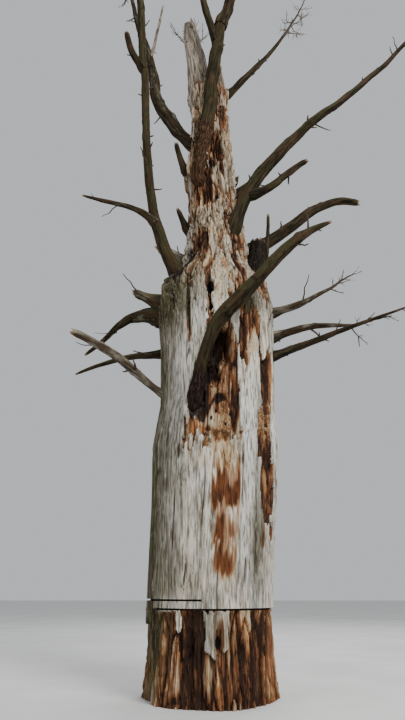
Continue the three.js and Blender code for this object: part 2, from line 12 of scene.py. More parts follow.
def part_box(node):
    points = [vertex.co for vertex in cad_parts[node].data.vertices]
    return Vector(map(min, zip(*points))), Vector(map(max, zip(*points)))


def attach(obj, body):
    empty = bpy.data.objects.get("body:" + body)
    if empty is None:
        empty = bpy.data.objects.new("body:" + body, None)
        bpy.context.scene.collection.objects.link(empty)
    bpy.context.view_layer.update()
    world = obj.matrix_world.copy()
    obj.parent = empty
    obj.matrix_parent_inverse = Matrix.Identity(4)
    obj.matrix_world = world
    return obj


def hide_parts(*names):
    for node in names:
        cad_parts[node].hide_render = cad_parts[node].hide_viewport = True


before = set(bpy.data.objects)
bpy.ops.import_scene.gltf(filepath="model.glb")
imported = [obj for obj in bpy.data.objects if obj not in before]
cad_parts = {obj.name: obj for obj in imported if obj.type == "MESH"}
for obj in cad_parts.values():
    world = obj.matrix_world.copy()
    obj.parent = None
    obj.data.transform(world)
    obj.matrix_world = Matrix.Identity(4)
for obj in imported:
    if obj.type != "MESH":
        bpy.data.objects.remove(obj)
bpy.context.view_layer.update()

# Camera
EYE = (-0.075, -6.2, 0.95)
EYE_TILT = 22.416
LENS = 28.0
FILM_HEIGHT = 36.0
FARTHEST = 200

# Trunk: height, centre, half width along X and half depth along Y, as in the source
TRUNK_STATIONS = np.array((
    (0.0, 0.0, 0.0, 0.672, 0.676),
    (0.3, 0.0, 0.0, 0.650, 0.652),
    (0.9, 0.0, 0.0, 0.642, 0.640),
    (1.7, 0.042, 0.0, 0.670, 0.650),
    (2.4, 0.070, 0.010, 0.698, 0.660),
    (2.9, 0.095, 0.020, 0.645, 0.645),
    (3.6, 0.100, 0.020, 0.664, 0.640),
    (4.2, 0.095, 0.030, 0.702, 0.610),
    (4.5, 0.080, 0.035, 0.670, 0.560),
    (4.64, 0.090, 0.040, 0.510, 0.500),
    (4.78, 0.098, 0.045, 0.420, 0.455),
    (5.2, 0.098, 0.050, 0.396, 0.420),
    (5.7, 0.070, 0.050, 0.345, 0.360),
    (6.3, 0.022, 0.040, 0.342, 0.320),
    (7.0, 0.030, 0.030, 0.272, 0.265),
    (7.7, 0.035, 0.020, 0.262, 0.240),
    (8.0, 0.030, 0.020, 0.250, 0.220),
))
TRUNK_BREAK = 7.9
BREAK_SLANT = 0.06
ROOT_FLARE = 0.026
ROOT_FLARE_HEIGHT = 0.26
ROOTS = 6
FIRST_ROOT = 0.6
FLUTE = 0.014
TRUNK_COLUMNS = 384
TRUNK_ROW = 0.0125
TRUNK_BANDS = (0.0, 1.85, 3.75, 5.75)
SPIRE_FOOT = Vector((-0.02, 0.02, 7.35))
SPIRE_TIP = Vector((-0.30, 0.02, 9.40))
SPIRE_RADII = (0.200, 0.185, 0.160, 0.142, 0.126, 0.075)
SPIRE_TUBE = dict(seed=71, jag=7.5, columns=84, knots=2, flat=0.55)
SPIRE_GREYNESS = 1.3
SPLINTERS = dict(
    count=7, start=-75, end=135, length=(0.16, 0.43), girth=0.062, radii=(0.060, 0.052, 0.020), seed=5)
SPLINTER_TUBE = dict(jag=2.5, columns=22, flat=0.7)
SPLINTER_SEED = 201
SAW_CUTS = ((0.870, 118, 262), (0.792, 212, 402))
SAW_CUT_WIDTH = 0.016
SAW_CUT_DEPTH = 0.040
CUT_LIP = 0.008
CUT_LIP_ROWS = (-0.003, -0.001, 0.001, 0.004)
PIT_ROWS = 14
RIM_JAGS = ((0.10, 3, 51), (0.09, 9, 52), (0.05, 24, 53))

# Rotten places of the trunk, as in the source: bearing, height, half width, half height, depth
ROTTEN = (
    (-90, 2.52, 0.300, 0.18, 0.036), (-88, 3.10, 0.180, 0.62, 0.038), (-56, 3.70, 0.130, 0.30, 0.034),
    (-33, 3.08, 0.110, 0.42, 0.036), (-42, 2.48, 0.095, 0.30, 0.034), (-34, 1.93, 0.130, 0.34, 0.040),
    (-119, 4.95, 0.120, 0.19, 0.032), (-115, 5.82, 0.140, 0.30, 0.046),
)
BACK_ROT = dict(
    count=18, around=(0, 188), up=(1.0, 7.4), wide=(0.075, 0.150), stretch=(1.6, 3.6), deep=0.038, seed=9)
UNDERCUT = dict(top=0.784, step=0.044, deep=0.030, middle=80, half=36, edge=12, front=105)

# How much of the trunk its sound outer wood covers by height, and where the saw cuts bared it
COVER = ((0.0, 2.4, 2.9, 3.7, 4.3, 5.0, 7.9), (0.95, 0.96, 0.84, 0.74, 0.46, 0.42, 0.40))
BARE_FOOT = dict(top=0.79, cover=0.04)
CUT_STRIP = dict(low=0.78, high=0.87, start=(116, 122), end=(205, 213))
UPPER_WOOD = (4.45, 5.1)
TORN_WOOD = (3.75, 4.55)

# Places on the trunk's skin: bearing, height, half width and half height, then how square or how
# strong each is. A hollow has its depth and how much shade is painted inside it.
SOUND_PATCHES = (
    (-134, 3.10, 0.34, 0.66, 5), (-109, 3.98, 0.085, 0.52, 5), (-71, 4.62, 0.060, 0.32, 4),
    (-50, 4.66, 0.10, 0.24, 4), (-62, 2.81, 0.085, 0.38, 6), (-71, 3.62, 0.016, 0.14, 3),
    (-46, 4.16, 0.07, 0.14, 3), (-119, 0.69, 0.035, 0.09, 3), (-85, 0.61, 0.12, 0.18, 4),
    (-48, 6.50, 0.028, 0.38, 4), (-26, 6.30, 0.05, 0.50, 4), (-52, 3.40, 0.07, 0.16, 3),
    (-130, 0.83, 0.16, 0.05, 6), (-100, 0.84, 0.20, 0.05, 6), (-86, 5.18, 0.060, 0.42, 4),
    (-118, 5.42, 0.07, 0.24, 3), (-30, 2.50, 0.090, 0.44, 4),
)
SOFT_LIP = (-88, 2.34, 0.36, 0.17)
FIBROUS = (-72, 2.76, 0.075, 0.34)
ROT_PATCHES = (
    (-74, 2.81, 0.05, 0.24, 3), (-63, 3.60, 0.07, 0.34, 4), (-119, 3.91, 0.028, 0.46, 4),
    (-26, 1.50, 0.08, 0.11, 2), (-84, 4.95, 0.028, 0.16, 3), (-48, 5.10, 0.06, 0.32, 3),
    (-64, 4.55, 0.045, 0.36, 3), (-40, 4.33, 0.065, 0.11, 2), (-97, 4.04, 0.030, 0.32, 3),
    (-84, 0.56, 0.035, 0.10, 2), (-80, 2.26, 0.05, 0.15, 2), (-103, 4.80, 0.07, 0.26, 3),
    (-98, 3.66, 0.04, 0.12, 3), (-76, 4.28, 0.030, 0.26, 3), (-98, 4.50, 0.040, 0.20, 3),
    (-67, 4.22, 0.05, 0.18, 3), (-27, 3.12, 0.06, 0.30, 3),
)
PALE_PLACES = (
    (-86, 5.15, 0.10, 0.45), (-58, 6.30, 0.10, 0.55), (-100, 5.30, 0.12, 0.25), (-82, 2.32, 0.25, 0.10),
    (-53, 3.50, 0.08, 0.20), (-57, 0.66, 0.08, 0.20), (-30, 5.55, 0.08, 0.30), (-120, 7.4, 0.12, 0.4),
    (-98, 4.72, 0.15, 0.28), (-43, 2.74, 0.08, 0.14), (-118, 5.40, 0.10, 0.26), (-96, 2.60, 0.12, 0.08),
    (-93, 0.28, 0.03, 0.14),
)
BLEACHED = (
    (-61, 2.62, 0.11, 0.60, 0.9), (-30, 2.50, 0.10, 0.46, 1.0), (-109, 4.00, 0.08, 0.50, 0.7),
    (-128, 3.20, 0.16, 0.55, 0.5), (-66, 3.80, 0.05, 0.35, 0.8), (-70, 4.62, 0.06, 0.30, 0.4),
    (-96, 2.05, 0.16, 0.22, 0.5), (-140, 2.55, 0.12, 0.50, 0.4), (-62, 1.70, 0.08, 0.50, 0.5),
)
YELLOWED = (
    (-84, 2.20, 0.16, 0.22, 1.0), (-88, 4.25, 0.06, 0.40, 0.7), (-104, 2.18, 0.10, 0.12, 0.5),
    (-86, 5.15, 0.06, 0.38, 0.5), (-84, 0.62, 0.13, 0.20, 0.5), (-92, 0.28, 0.04, 0.16, 0.8),
    (-78, 1.18, 0.14, 0.24, 0.6), (-112, 0.98, 0.30, 0.12, 0.4),
)
DUSKY_PLACES = (
    (-115, 5.90, 0.13, 0.34), (-119, 4.90, 0.10, 0.17), (-84, 4.95, 0.03, 0.16), (-48, 5.10, 0.06, 0.32),
    (-108, 0.57, 0.14, 0.22), (-62, 0.50, 0.04, 0.20), (-41, 6.18, 0.045, 0.36), (-74, 3.20, 0.04, 0.20),
    (-150, 0.60, 0.09, 0.20), (-119, 3.91, 0.03, 0.45), (-47, 2.33, 0.04, 0.2), (-34, 1.72, 0.10, 0.20),
    (-31, 3.15, 0.09, 0.34), (-103, 2.90, 0.04, 0.22), (-66, 6.50, 0.08, 0.28),
    (-33, 0.60, 0.08, 0.24), (-58, 6.40, 0.05, 0.40), (-73, 2.74, 0.055, 0.26),
)
RAISED_SLABS = (
    (-88, 4.25, 0.085, 0.44), (-109, 3.98, 0.075, 0.50), (-71, 3.62, 0.014, 0.13), (-62, 2.82, 0.075, 0.34),
)
HOLLOWS = (
    (-89, 3.46, 0.130, 0.29, 0.20, 0.1), (-111, 2.86, 0.085, 0.20, 0.09, 0.3),
    (-96, 3.09, 0.11, 0.14, 0.08, 0.3), (-97, 4.20, 0.046, 0.090, 0.09, 1.0),
    (-97, 3.93, 0.030, 0.065, 0.06, 1.0), (-85, 2.44, 0.095, 0.050, 0.045, 0.3),
    (-101, 2.44, 0.030, 0.025, 0.030, 0.6), (-68, 6.48, 0.090, 0.32, 0.10, 0.0),
    (-150, 4.88, 0.07, 0.10, 0.09, 0.8), (-83, 5.67, 0.025, 0.040, 0.04, 1.0),
    (-54, 5.70, 0.035, 0.050, 0.04, 1.0), (-84, 0.52, 0.030, 0.055, 0.04, 1.0),
    (-27, 1.52, 0.050, 0.085, 0.05, 1.0), (-113, 5.68, 0.06, 0.14, 0.05, 0.2),
    (-62, 0.42, 0.045, 0.16, 0.04, 0.5), (-109, 0.50, 0.05, 0.13, 0.05, 0.5),
    (-87, 2.85, 0.065, 0.06, 0.045, 0.4), (-98, 3.67, 0.028, 0.060, 0.05, 1.0),
    (-30, 3.40, 0.040, 0.12, 0.05, 1.0), (-120, 4.90, 0.045, 0.07, 0.05, 0.4),
    (-82, 2.55, 0.018, 0.025, 0.02, 1.0), (-96, 2.62, 0.015, 0.030, 0.02, 1.0),
    (-78, 2.66, 0.016, 0.022, 0.02, 1.0), (-99, 2.50, 0.040, 0.035, 0.03, 0.4),
    (-92, 2.70, 0.014, 0.020, 0.02, 1.0), (-18, 3.72, 0.050, 0.140, 0.06, 0.9),
)
STAINS = (
    (-88, 1.92, 0.072, 0.20, 1.0), (-75, 1.88, 0.078, 0.16, 1.0), (-80, 2.00, 0.150, 0.24, 0.45),
    (-87, 1.52, 0.060, 0.13, 0.90), (-75, 1.56, 0.040, 0.14, 0.6), (-80, 1.27, 0.110, 0.18, 0.75),
    (-43, 1.46, 0.028, 0.12, 0.8), (-83, 0.60, 0.05, 0.16, 0.9), (-80, 1.60, 0.15, 0.30, 0.35),
    (-86, 2.44, 0.085, 0.075, 0.50),
)
# Charred places with their strength last; the two by 4.6 m at bearings -158 and -140 are painted shade at the
# leader's foot.
CHARRED_AND_SHADED = (
    (-92, 3.48, 0.110, 0.28, 0.92), (-108, 2.76, 0.080, 0.20, 0.92), (-99, 3.16, 0.120, 0.19, 0.90),
    (-89, 2.84, 0.070, 0.085, 0.72), (-84, 6.22, 0.045, 0.10, 0.75), (-97, 4.20, 0.03, 0.06, 0.85),
    (-158, 4.58, 0.26, 0.14, 0.60), (-140, 4.60, 0.19, 0.18, 0.82), (-32, 3.22, 0.05, 0.12, 0.55),
)
# Moss, with its strength last; on the left flank and at the leader's foot, bearings -138 to -170, it is also
# painted shade.
MOSS_AND_SHADE = (
    (-150, 4.12, 0.44, 0.56, 1.0), (-160, 1.35, 0.26, 1.70, 1.0), (-147, 2.05, 0.26, 1.00, 0.75),
    (-56, 4.04, 0.10, 0.10, 0.8), (150, 2.2, 0.35, 1.8, 0.8), (178, 4.1, 0.32, 0.6, 1.0),
    (-138, 1.12, 0.30, 0.25, 0.70), (-170, 0.70, 0.18, 0.50, 0.9), (-166, 3.10, 0.26, 0.95, 0.95),
    (-142, 4.54, 0.24, 0.22, 1.0), (-157, 1.25, 0.20, 0.80, 1.0), (-48, 1.40, 0.08, 0.50, 0.85),
    (-85, 0.62, 0.12, 0.18, 0.50),
)

# Drying cracks: bearing, lowest and highest point
CRACKS = (
    (-122, 3.21, 3.62), (-147, 3.24, 3.40), (-50.5, 1.08, 1.60), (-113, 0.98, 1.24), (-100, 1.35, 2.30),
    (-138, 2.20, 3.05), (-127, 1.20, 1.95), (-66, 1.60, 2.50), (-153, 1.70, 2.70), (-92, 2.02, 2.40),
    (-60, 0.95, 1.30), (-72, 5.20, 5.70), (-105, 5.10, 5.60), (-31, 0.95, 1.45), (-145, 0.95, 1.60),
)
SCAR_LINE = ((-147, 4.25), (-127, 4.04))
BOUGH_FOOT = (-113, 2.70, 0.10, 0.14)
KNOT = (-118, 2.02, 0.045, 0.11)
SHOULDER = (-146, 3.98, 0.26, 0.40)

# By height: the girth that the grain is laid out on, and the swelling at the front of the throat
GRAIN_GIRTH = ((0.0, 3.8, 5.6, 7.9), (0.65, 0.65, 0.36, 0.25))
THROAT = ((4.48, 4.64, 4.78, 5.0, 5.2, 5.4), (0, 0.032, 0.054, 0.036, 0.014, 0))
BACK_SEED = 9

# Limbs, as in the source: bearings, rises and radii stand at even steps. Then how far a limb's end
# has splintered, as a share of its girth, and how grey and mossy it is. A dark foot has its reach
# and how rough it is, and its two tones; it is char on the front bough and painted shade on the right stump.
LIMB_STEPS = 14
LONG_LIMB = 2.6
LIMBS = {
    "left_leader": dict(
        height=4.46, side=190, sunk=0.52, length=7.7, bearings=(191, 193, 184, 177, 170),
        rises=(54, 82, 86, 85, 86, 82, 78), radii=(0.104, 0.070, 0.058, 0.060, 0.060, 0.047, 0.030),
        moss=0.6),
    "left_leader_stub": dict(
        on="left_leader", along=0.487, length=0.75, bearings=(199, 200), rises=(55, 77),
        radii=(0.058, 0.050, 0.044), end=1.6),
    "left_side_limb": dict(
        on="left_leader", along=0.133, length=1.08, bearings=(184, 190), rises=(51, 10, 11),
        radii=(0.064, 0.042, 0.032, 0.016), end=1.5, grey=0.5),
    "back_left_bough": dict(
        height=6.85, side=150, sunk=0.5, length=4.33, bearings=(150, 149, 155),
        rises=(47, 65, 80, 74, 78), radii=(0.095, 0.104, 0.084, 0.060, 0.038), grey=0.4),
    "pale_back_twig": dict(
        on="back_left_bough", along=0.6, length=1.45, bearings=(0, 20), rises=(79, 86),
        radii=(0.034, 0.026, 0.014), end=1.5, grey=0.95),
    "left_spur": dict(
        height=6.03, side=190, sunk=0.6, length=0.87, bearings=(190, 190), rises=(58, 81),
        radii=(0.066, 0.050, 0.034), end=2.0),
    # Its high greyness is partly painted light: the stub is made paler where it lies in shade.
    "torn_stub": dict(
        height=4.88, side=160, sunk=0.7, length=0.62, bearings=(176, 180), rises=(34, 36),
        radii=(0.088, 0.084, 0.058), end=2.6, grey=1.3),
    "left_dark_stub": dict(
        height=5.12, side=188, sunk=0.6, length=0.64, bearings=(190, 190), rises=(60, 66),
        radii=(0.062, 0.050, 0.030), end=2.6, grey=0.0),
    "left_mossy_stub": dict(
        height=4.27, side=178, sunk=0.8, length=0.56, bearings=(178, 170), rises=(17, 33),
        radii=(0.115, 0.078, 0.044), end=2.2, grey=0.55, moss=0.8),
    "left_bent_bough": dict(
        height=4.08, side=175, sunk=0.8, length=1.64, bearings=(160, 136, 143),
        rises=(25, 9, -23, -17), radii=(0.128, 0.100, 0.052, 0.038, 0.024), end=2.0, grey=0.45, moss=0.8),
    "left_bent_twin": dict(
        on="left_bent_bough", along=0.36, length=0.52, bearings=(170, 165), rises=(-28, -36),
        radii=(0.032, 0.022, 0.012), end=2.0),
    "left_low_bough": dict(
        height=3.62, side=175, sunk=0.8, length=1.41, bearings=(165, 150), rises=(4, -2, -11),
        radii=(0.056, 0.044, 0.032, 0.016), end=2.0, grey=0.35, moss=0.5),
    "left_broken_log": dict(
        height=2.96, side=195, sunk=0.85, length=1.36, bearings=(205, 205), rises=(34, 33, 12),
        radii=(0.038, 0.050, 0.054, 0.046), end=2.2, grey=0.70, moss=0.4),
    "front_bough": dict(
        height=2.76, side=-113, sunk=0.95, foot=0.13, length=2.84,
        bearings=(-84, -21, -1, 0, 6), rises=(76, 71, 48, 50, 43, 26),
        radii=(0.072, 0.064, 0.074, 0.086, 0.071, 0.066, 0.020),
        end=2.0, moss=0.55, burnt=(0.28, 1.0), foot_tones=((0.007, 0.005, 0.005), (0.060, 0.030, 0.018))),
    "front_bough_spur": dict(
        on="front_bough", along=0.655, length=0.74, bearings=(-30, 0), rises=(82, 87),
        radii=(0.034, 0.025, 0.020), end=1.6),
    # Its dark foot, over most of its length, is painted shade.
    "right_stump": dict(
        height=4.62, side=0, sunk=0.94, length=0.64, bearings=(5, 5), rises=(84, 88),
        radii=(0.140, 0.136, 0.118),
        end=0.9, grey=0.05, burnt=(0.75, 0.15),
        foot_tones=((0.006, 0.005, 0.004), (0.038, 0.026, 0.018))),
    "right_high_bough": dict(
        height=5.08, side=5, sunk=0.82, length=2.28, bearings=(10, 15, 21),
        rises=(24, 39, 43, 34, 1), radii=(0.096, 0.084, 0.078, 0.058, 0.050), end=1.6),
    "right_rising_bough": dict(
        height=5.11, side=-60, sunk=0.85, length=4.6, bearings=(-20, 1, 3),
        rises=(71, 52, 41, 48, 55), radii=(0.092, 0.086, 0.064, 0.048, 0.036, 0.022), moss=0.5),
    "right_rising_fork": dict(
        on="right_rising_bough", along=0.13, length=1.06, bearings=(0, 10), rises=(15, 50, 36),
        radii=(0.072, 0.052, 0.046, 0.038), end=1.8),
    "right_upper_fork": dict(
        height=5.93, side=0, sunk=0.8, length=0.74, bearings=(0, 0), rises=(39, 49),
        radii=(0.060, 0.040, 0.032), end=1.8, grey=0.35),
    "flaky_stub": dict(
        height=6.12, side=8, sunk=0.8, length=0.27, bearings=(5, 5), rises=(58, 66),
        radii=(0.062, 0.044, 0.016), end=2.6, grey=0.5),
    "right_mid_bough": dict(
        height=4.1, side=0, sunk=0.8, length=1.05, bearings=(10, 20), rises=(20, 30, 34),
        radii=(0.068, 0.054, 0.038, 0.024), grey=0.5),
    "right_twin_upper": dict(
        height=3.72, side=-5, sunk=0.8, length=1.03, bearings=(-5, 5), rises=(25, 14, 1),
        radii=(0.066, 0.052, 0.040, 0.024), grey=0.45),
    "right_twin_lower": dict(
        height=3.46, side=-15, sunk=0.8, length=1.75, bearings=(-10, 5), rises=(18, 20, 23),
        radii=(0.062, 0.047, 0.035, 0.025, 0.016), grey=0.3),
    "upper_right_bough": dict(
        height=7.68, side=0, sunk=0.5, length=1.9, bearings=(0, 10, 20), rises=(46, 56, 64),
        radii=(0.062, 0.050, 0.036, 0.024)),
    "crown_bough": dict(
        height=6.05, side=-122, sunk=0.9, foot=0.18, length=2.75, bearings=(-35, -20, -10),
        rises=(82, 83, 84), radii=(0.084, 0.094, 0.098, 0.094, 0.090),
        moss=0.35, burnt=(0.30, 1.0), foot_tones=((0.024, 0.012, 0.007), (0.12, 0.062, 0.032))),
    "crown_fork_right": dict(
        on="crown_bough", along=1, length=3.1, bearings=(0, 20, 40), rises=(74, 78, 72),
        radii=(0.088, 0.074, 0.054, 0.028), grey=0.2),
    "crown_fork_left": dict(
        on="crown_bough", along=0.88, length=2.7, bearings=(182, 200, 215), rises=(72, 87, 82),
        radii=(0.066, 0.054, 0.040, 0.024), grey=0.3),
    "back_top_bough": dict(
        height=7.15, side=100, sunk=0.6, length=3.3, bearings=(100, 112, 95), rises=(58, 72, 76),
        radii=(0.084, 0.066, 0.048, 0.028)),
    "back_high_bough": dict(
        height=5.75, side=70, sunk=0.7, length=2.3, bearings=(75, 90, 100), rises=(50, 30, 42),
        radii=(0.070, 0.054, 0.038, 0.024)),
    "back_mid_bough": dict(
        height=4.5, side=105, sunk=0.8, length=2.4, bearings=(100, 85, 80), rises=(40, 22, 17),
        radii=(0.084, 0.062, 0.044, 0.026)),
    "back_low_bough": dict(
        height=3.35, side=82, sunk=0.8, length=1.75, bearings=(85, 95, 90), rises=(25, 10, 2),
        radii=(0.064, 0.050, 0.036, 0.022), grey=0.4),
}

USUAL_GREYNESS = 0.1
USUAL_MOSSINESS = 0.15
LIMB_SEED = 100
LIMB_SEED_STEP = 17
LIMB_ROW = 0.014
LIMB_COLUMN = 0.013
LIMB_COLUMNS = (14, 64)
LIMB_COLLAR = 0.26
KNOTS_PER_METRE = 2.4
ROOT_REACH = 2.4
SLIMNESS = 0.94
STEADY_END = 0.3
BROKEN_ROWS = 7
BROKEN_CAP = (0.92, 0.7, 0.4, 0.0)
ROUND_CAP = (0.8, 0.4, 0.0)
SPUR_SPACING = 0.42
SPUR_STEP = 0.05
STUB_LINE = dict(wander=0.025, pieces=4)
STUB_SEED = 33

# Masses of bare twigs, as in the source
MASSES = {
    "left_leader_twigs": ("left_leader", 1.25, 11),
    "back_left_twigs": ("back_left_bough", 1.30, 12),
    "crown_left_twigs": ("crown_fork_left", 1.05, 13),
    "crown_right_twigs": ("crown_fork_right", 1.20, 14),
    "upper_right_twigs": ("upper_right_bough", 1.00, 15),
    "right_rising_twigs": ("right_rising_bough", 0.95, 16),
    "right_mid_twigs": ("right_mid_bough", 0.56, 17),
    "right_twin_upper_twigs": ("right_twin_upper", 0.62, 18),
    "right_twin_lower_twigs": ("right_twin_lower", 0.56, 19),
    "back_top_twigs": ("back_top_bough", 1.15, 20),
    "back_high_twigs": ("back_high_bough", 1.05, 21),
    "back_mid_twigs": ("back_mid_bough", 1.05, 22),
    "back_low_twigs": ("back_low_bough", 0.85, 23),
}
STEM_STEPS = 4
STEM_TIP_SHARE = 0.3
STEM_WANDER = 22
TWIG_SPACING = 0.165
TWIG_FIRST = 0.16
TWIG_LAST = 0.94
TWIG_LEAN = (34, 58)
TWIG_SHARE = (0.42, 0.62)
TWIG_GIRTH = 0.6
TWIG_TAPER = 0.55
TWIG_TURN = 137.5
TWIG_TURN_SPREAD = 40
TWIG_LIFT = 0.22
SPRIG_SHARE = 0.5
FORKED_TWIG = 0.33
SPACE_SHARE = 0.8
SPACE_MIDDLE = 0.55
LIMB_CLEARANCE = 0.025
THINNEST = 0.004
UPRIGHT = 0.9
STEM_LINE = dict(wander=0.004, pieces=12)
TWIG_LINE = dict(wander=0.012, pieces=7)
TUBE_GIRTH = 0.01

# Finer shoots, which the source leaves out
SHOOTS = dict(spacing=0.085, share=0.42, thin=0.55)
FINEST_SHOOTS = dict(spacing=0.055, share=0.40, thin=0.7)
SHOOT_LINE = dict(wander=0.03, pieces=4)
SHOOT_RADIUS = 0.0016
SHOOT_TIP = 0.0010
MASS_MARGIN = 0.01
TWIG_SEED = 77

# Grains of each finish: cells in a metre along each axis, layers and shift; then its bumps
DULLNESS = 0.08
TRUNK_GRAINS = {
    "streak": ((26, 26, 1.0), 5, 3.1),
    "hatch": ((54, 54, 6.5), 4, 7.7),
    "fine": ((130, 130, 15), 3, 2.3),
    "thin": ((96, 96, 9), 4, 6.3),
    "blotch": ((2.6, 2.6, 0.8), 3, 1.9),
    "band": ((11, 11, 0.6), 4, 12.3),
    "cloud": ((14, 14, 9), 4, 5.5),
    "speck": ((84, 84, 58), 3, 9.1),
}
TRUNK_BUMPS = (("streak", 0.50, 0.022), ("hatch", 0.55, 0.012), ("fine", 0.40, 0.005))
BOUGH_GRAINS = {
    "streak": ((40, 40, 3.0), 5, 2.3),
    "fine": ((110, 110, 14), 4, 8.1),
    "blotch": ((12, 12, 4), 3, 4.4),
}
BOUGH_BUMPS = (("streak", 0.60, 0.012), ("fine", 0.50, 0.004))

# Light: each lamp's place, size and power
SKY_TONE = (0.86, 0.89, 0.92)
SKY_STRENGTH = 0.66
LAMPS = (
    ("key", (6.0, -9.0, 12.0), 5.0, 1700),
    ("fill", (-9.0, -7.0, 5.0), 8.0, 150),
    ("back", (3.0, 9.0, 12.0), 8.0, 900),
)
LAMP_TARGET = Vector((0, 0, 5))
FLOOR_REACH = 60

CREASE = 58
TINY = 1e-6


# Numbers, noise and ramps
def along(values, t):
    """A value read off a short list whose entries stand at even steps from 0 to 1."""
    place = t * (len(values) - 1)
    first = min(int(place), len(values) - 2)
    return values[first] + (values[first + 1] - values[first]) * (place - first)


def between(pair, share):
    return pair[0] + (pair[1] - pair[0]) * share


def on_path(path, t):
    """The number of the piece of a path at share t, the point there, and the way that piece runs."""
    place_along = t * (len(path) - 1)
    first = min(int(place_along), len(path) - 2)
    way = (path[first + 1] - path[first]).normalized()
    return first, path[first].lerp(path[first + 1], place_along - first), way


def heading(bearing, rise):
    b = math.radians(bearing)
    e = math.radians(rise)
    return Vector((math.cos(b) * math.cos(e), math.sin(b) * math.cos(e), math.sin(e)))


def seeded(seed):
    """The source's own run of numbers from 0 to 1."""
    state = seed
    while True:
        state = (state * 1664525 + 1013904223) % 4294967296
        yield state / 4294967296


def ramp(value, low, high):
    """0 below low, 1 above high, and smooth between them."""
    t = np.clip((value - low) / (high - low), 0.0, 1.0)
    return t * t * (3 - 2 * t)


def lattice(cell, seed):
    """A random number from 0 to 1 for each whole cell, mixed from its place and the seed."""
    mixed = cell[..., 0] * 374761393 + cell[..., 1] * 668265263 + cell[..., 2] * 1274126177
    mixed = (mixed + seed * 974634777) & 0xFFFFFFFF
    for shift, factor in ((13, 1103515245), (15, 668265263)):
        mixed = ((mixed ^ (mixed >> shift)) * factor) & 0xFFFFFFFF
    return ((mixed ^ (mixed >> 16)) & 0xFFFF) / 65535.0


def noise(points, scale, seed):
    """Smooth noise from -1 to 1 at points; scale is the number of cells in a metre along each axis."""
    scaled = points * np.array(scale, float)
    cell = np.floor(scaled).astype(np.int64)
    part = scaled - cell
    part = part * part * (3 - 2 * part)
    total = np.zeros(len(points))
    for corner in range(8):
        step = np.array((corner & 1, corner >> 1 & 1, corner >> 2 & 1))
        weight = np.prod(np.where(step == 1, part, 1 - part), axis=-1)
        total += weight * lattice(cell + step, seed)
    return total * 2 - 1


def layered(points, scale, seed):
    """Three layers of noise, each twice as fine and half as strong as the one before."""
    layers = [noise(points, np.array(scale, float) * 2 ** k, seed + k * 31) / 2 ** k for k in range(3)]
    return sum(layers) / 1.75


def cracked(points, scale, seed, width):
    """1 in thin lines where the noise passes through nothing, and 0 elsewhere."""
    return 1 - ramp(np.abs(noise(points, scale, seed)), 0.0, width)


Cells = namedtuple("Cells", "split level tone")


def blocks(points, scale, seed, gap, is_square=False):
    """Cells like split wood: split is 1 between them, and each has a level and a tone from -0.5 to 0.5."""
    scaled = points * np.array(scale, float)
    cell = np.floor(scaled).astype(np.int64)
    nearest = np.full(len(points), 9.0)
    second = np.full(len(points), 9.0)
    level = np.zeros(len(points))
    tone = np.zeros(len(points))
    for number in range(27):
        step = np.array((number % 3 - 1, number // 3 % 3 - 1, number // 9 - 1))
        other = cell + step
        seat = other + 0.5 + 0.42 * np.stack([lattice(other, seed + k) * 2 - 1 for k in range(3)], -1)
        away = np.abs(scaled - seat)
        away = away.max(-1) if is_square else np.sqrt((away ** 2).sum(-1))
        is_nearer = away < nearest
        second = np.where(is_nearer, nearest, np.minimum(second, away))
        level = np.where(is_nearer, lattice(other, seed + 7), level)
        tone = np.where(is_nearer, lattice(other, seed + 8), tone)
        nearest = np.where(is_nearer, away, nearest)
    return Cells(1 - ramp(second - nearest, 0.0, gap), level - 0.5, tone - 0.5)


# Meshes
def tube(name, columns, rows, shape):
    """A closed tube from one grid: shape(turn, row) gives points and marks, and each end row is one point."""
    grid = bmesh.new()
    bmesh.ops.create_grid(grid, x_segments=columns, y_segments=rows - 1, size=0.5)
    mesh = bpy.data.meshes.new(name)
    grid.to_mesh(mesh)
    grid.free()
    flat = np.zeros(len(mesh.vertices) * 3)
    mesh.vertices.foreach_get("co", flat)
    flat = flat.reshape(-1, 3)
    turn = flat[:, 0] + 0.5
    turn[turn > 1 - TINY] = 0
    row = np.rint((flat[:, 1] + 0.5) * (rows - 1)).astype(int)
    points, marks = shape(turn * 2 * math.pi, row)
    mesh.vertices.foreach_set("co", points.ravel())
    for mark, values in marks.items():
        add_mark(mesh, mark, values)
    seam = bmesh.new()
    seam.from_mesh(mesh)
    rim = [vertex for vertex in seam.verts if vertex.is_boundary]
    bmesh.ops.remove_doubles(seam, verts=rim, dist=TINY)
    seam.to_mesh(mesh)
    seam.free()
    mesh.shade_smooth()
    mesh.set_sharp_from_angle(angle=math.radians(CREASE))
    return place(name, mesh)


def add_mark(mesh, mark, values):
    kind = "FLOAT_VECTOR" if np.ndim(values) == 2 else "FLOAT"
    attribute = mesh.attributes.new(mark, kind, "POINT")
    key = "vector" if kind == "FLOAT_VECTOR" else "value"
    attribute.data.foreach_set(key, np.ascontiguousarray(values, np.float32).ravel())


def place(name, mesh):
    piece = bpy.data.objects.new(name, mesh)
    bpy.context.scene.collection.objects.link(piece)
    return piece


def finish_piece(piece, material, slot, *nodes):
    piece.data.materials.clear()
    piece.data.materials.append(material)
    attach(piece, "root")
    if nodes:
        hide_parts(*nodes)


# Trunk
def trunk_at(height):
    return [np.interp(height, TRUNK_STATIONS[:, 0], TRUNK_STATIONS[:, k]) for k in range(1, 5)]


def turn_from(start, bearing):
    """The turn from one bearing to another, from -180 to 180 degrees."""
    return (bearing - start + 180) % 360 - 180


def off(bearing, height, mark_bearing, mark_height):
    """How far along the skin a point lies from a mark, across and upwards."""
    _, _, wide, deep = trunk_at(height)
    return np.radians(turn_from(mark_bearing, bearing)) * (wide + deep) / 2, height - mark_height


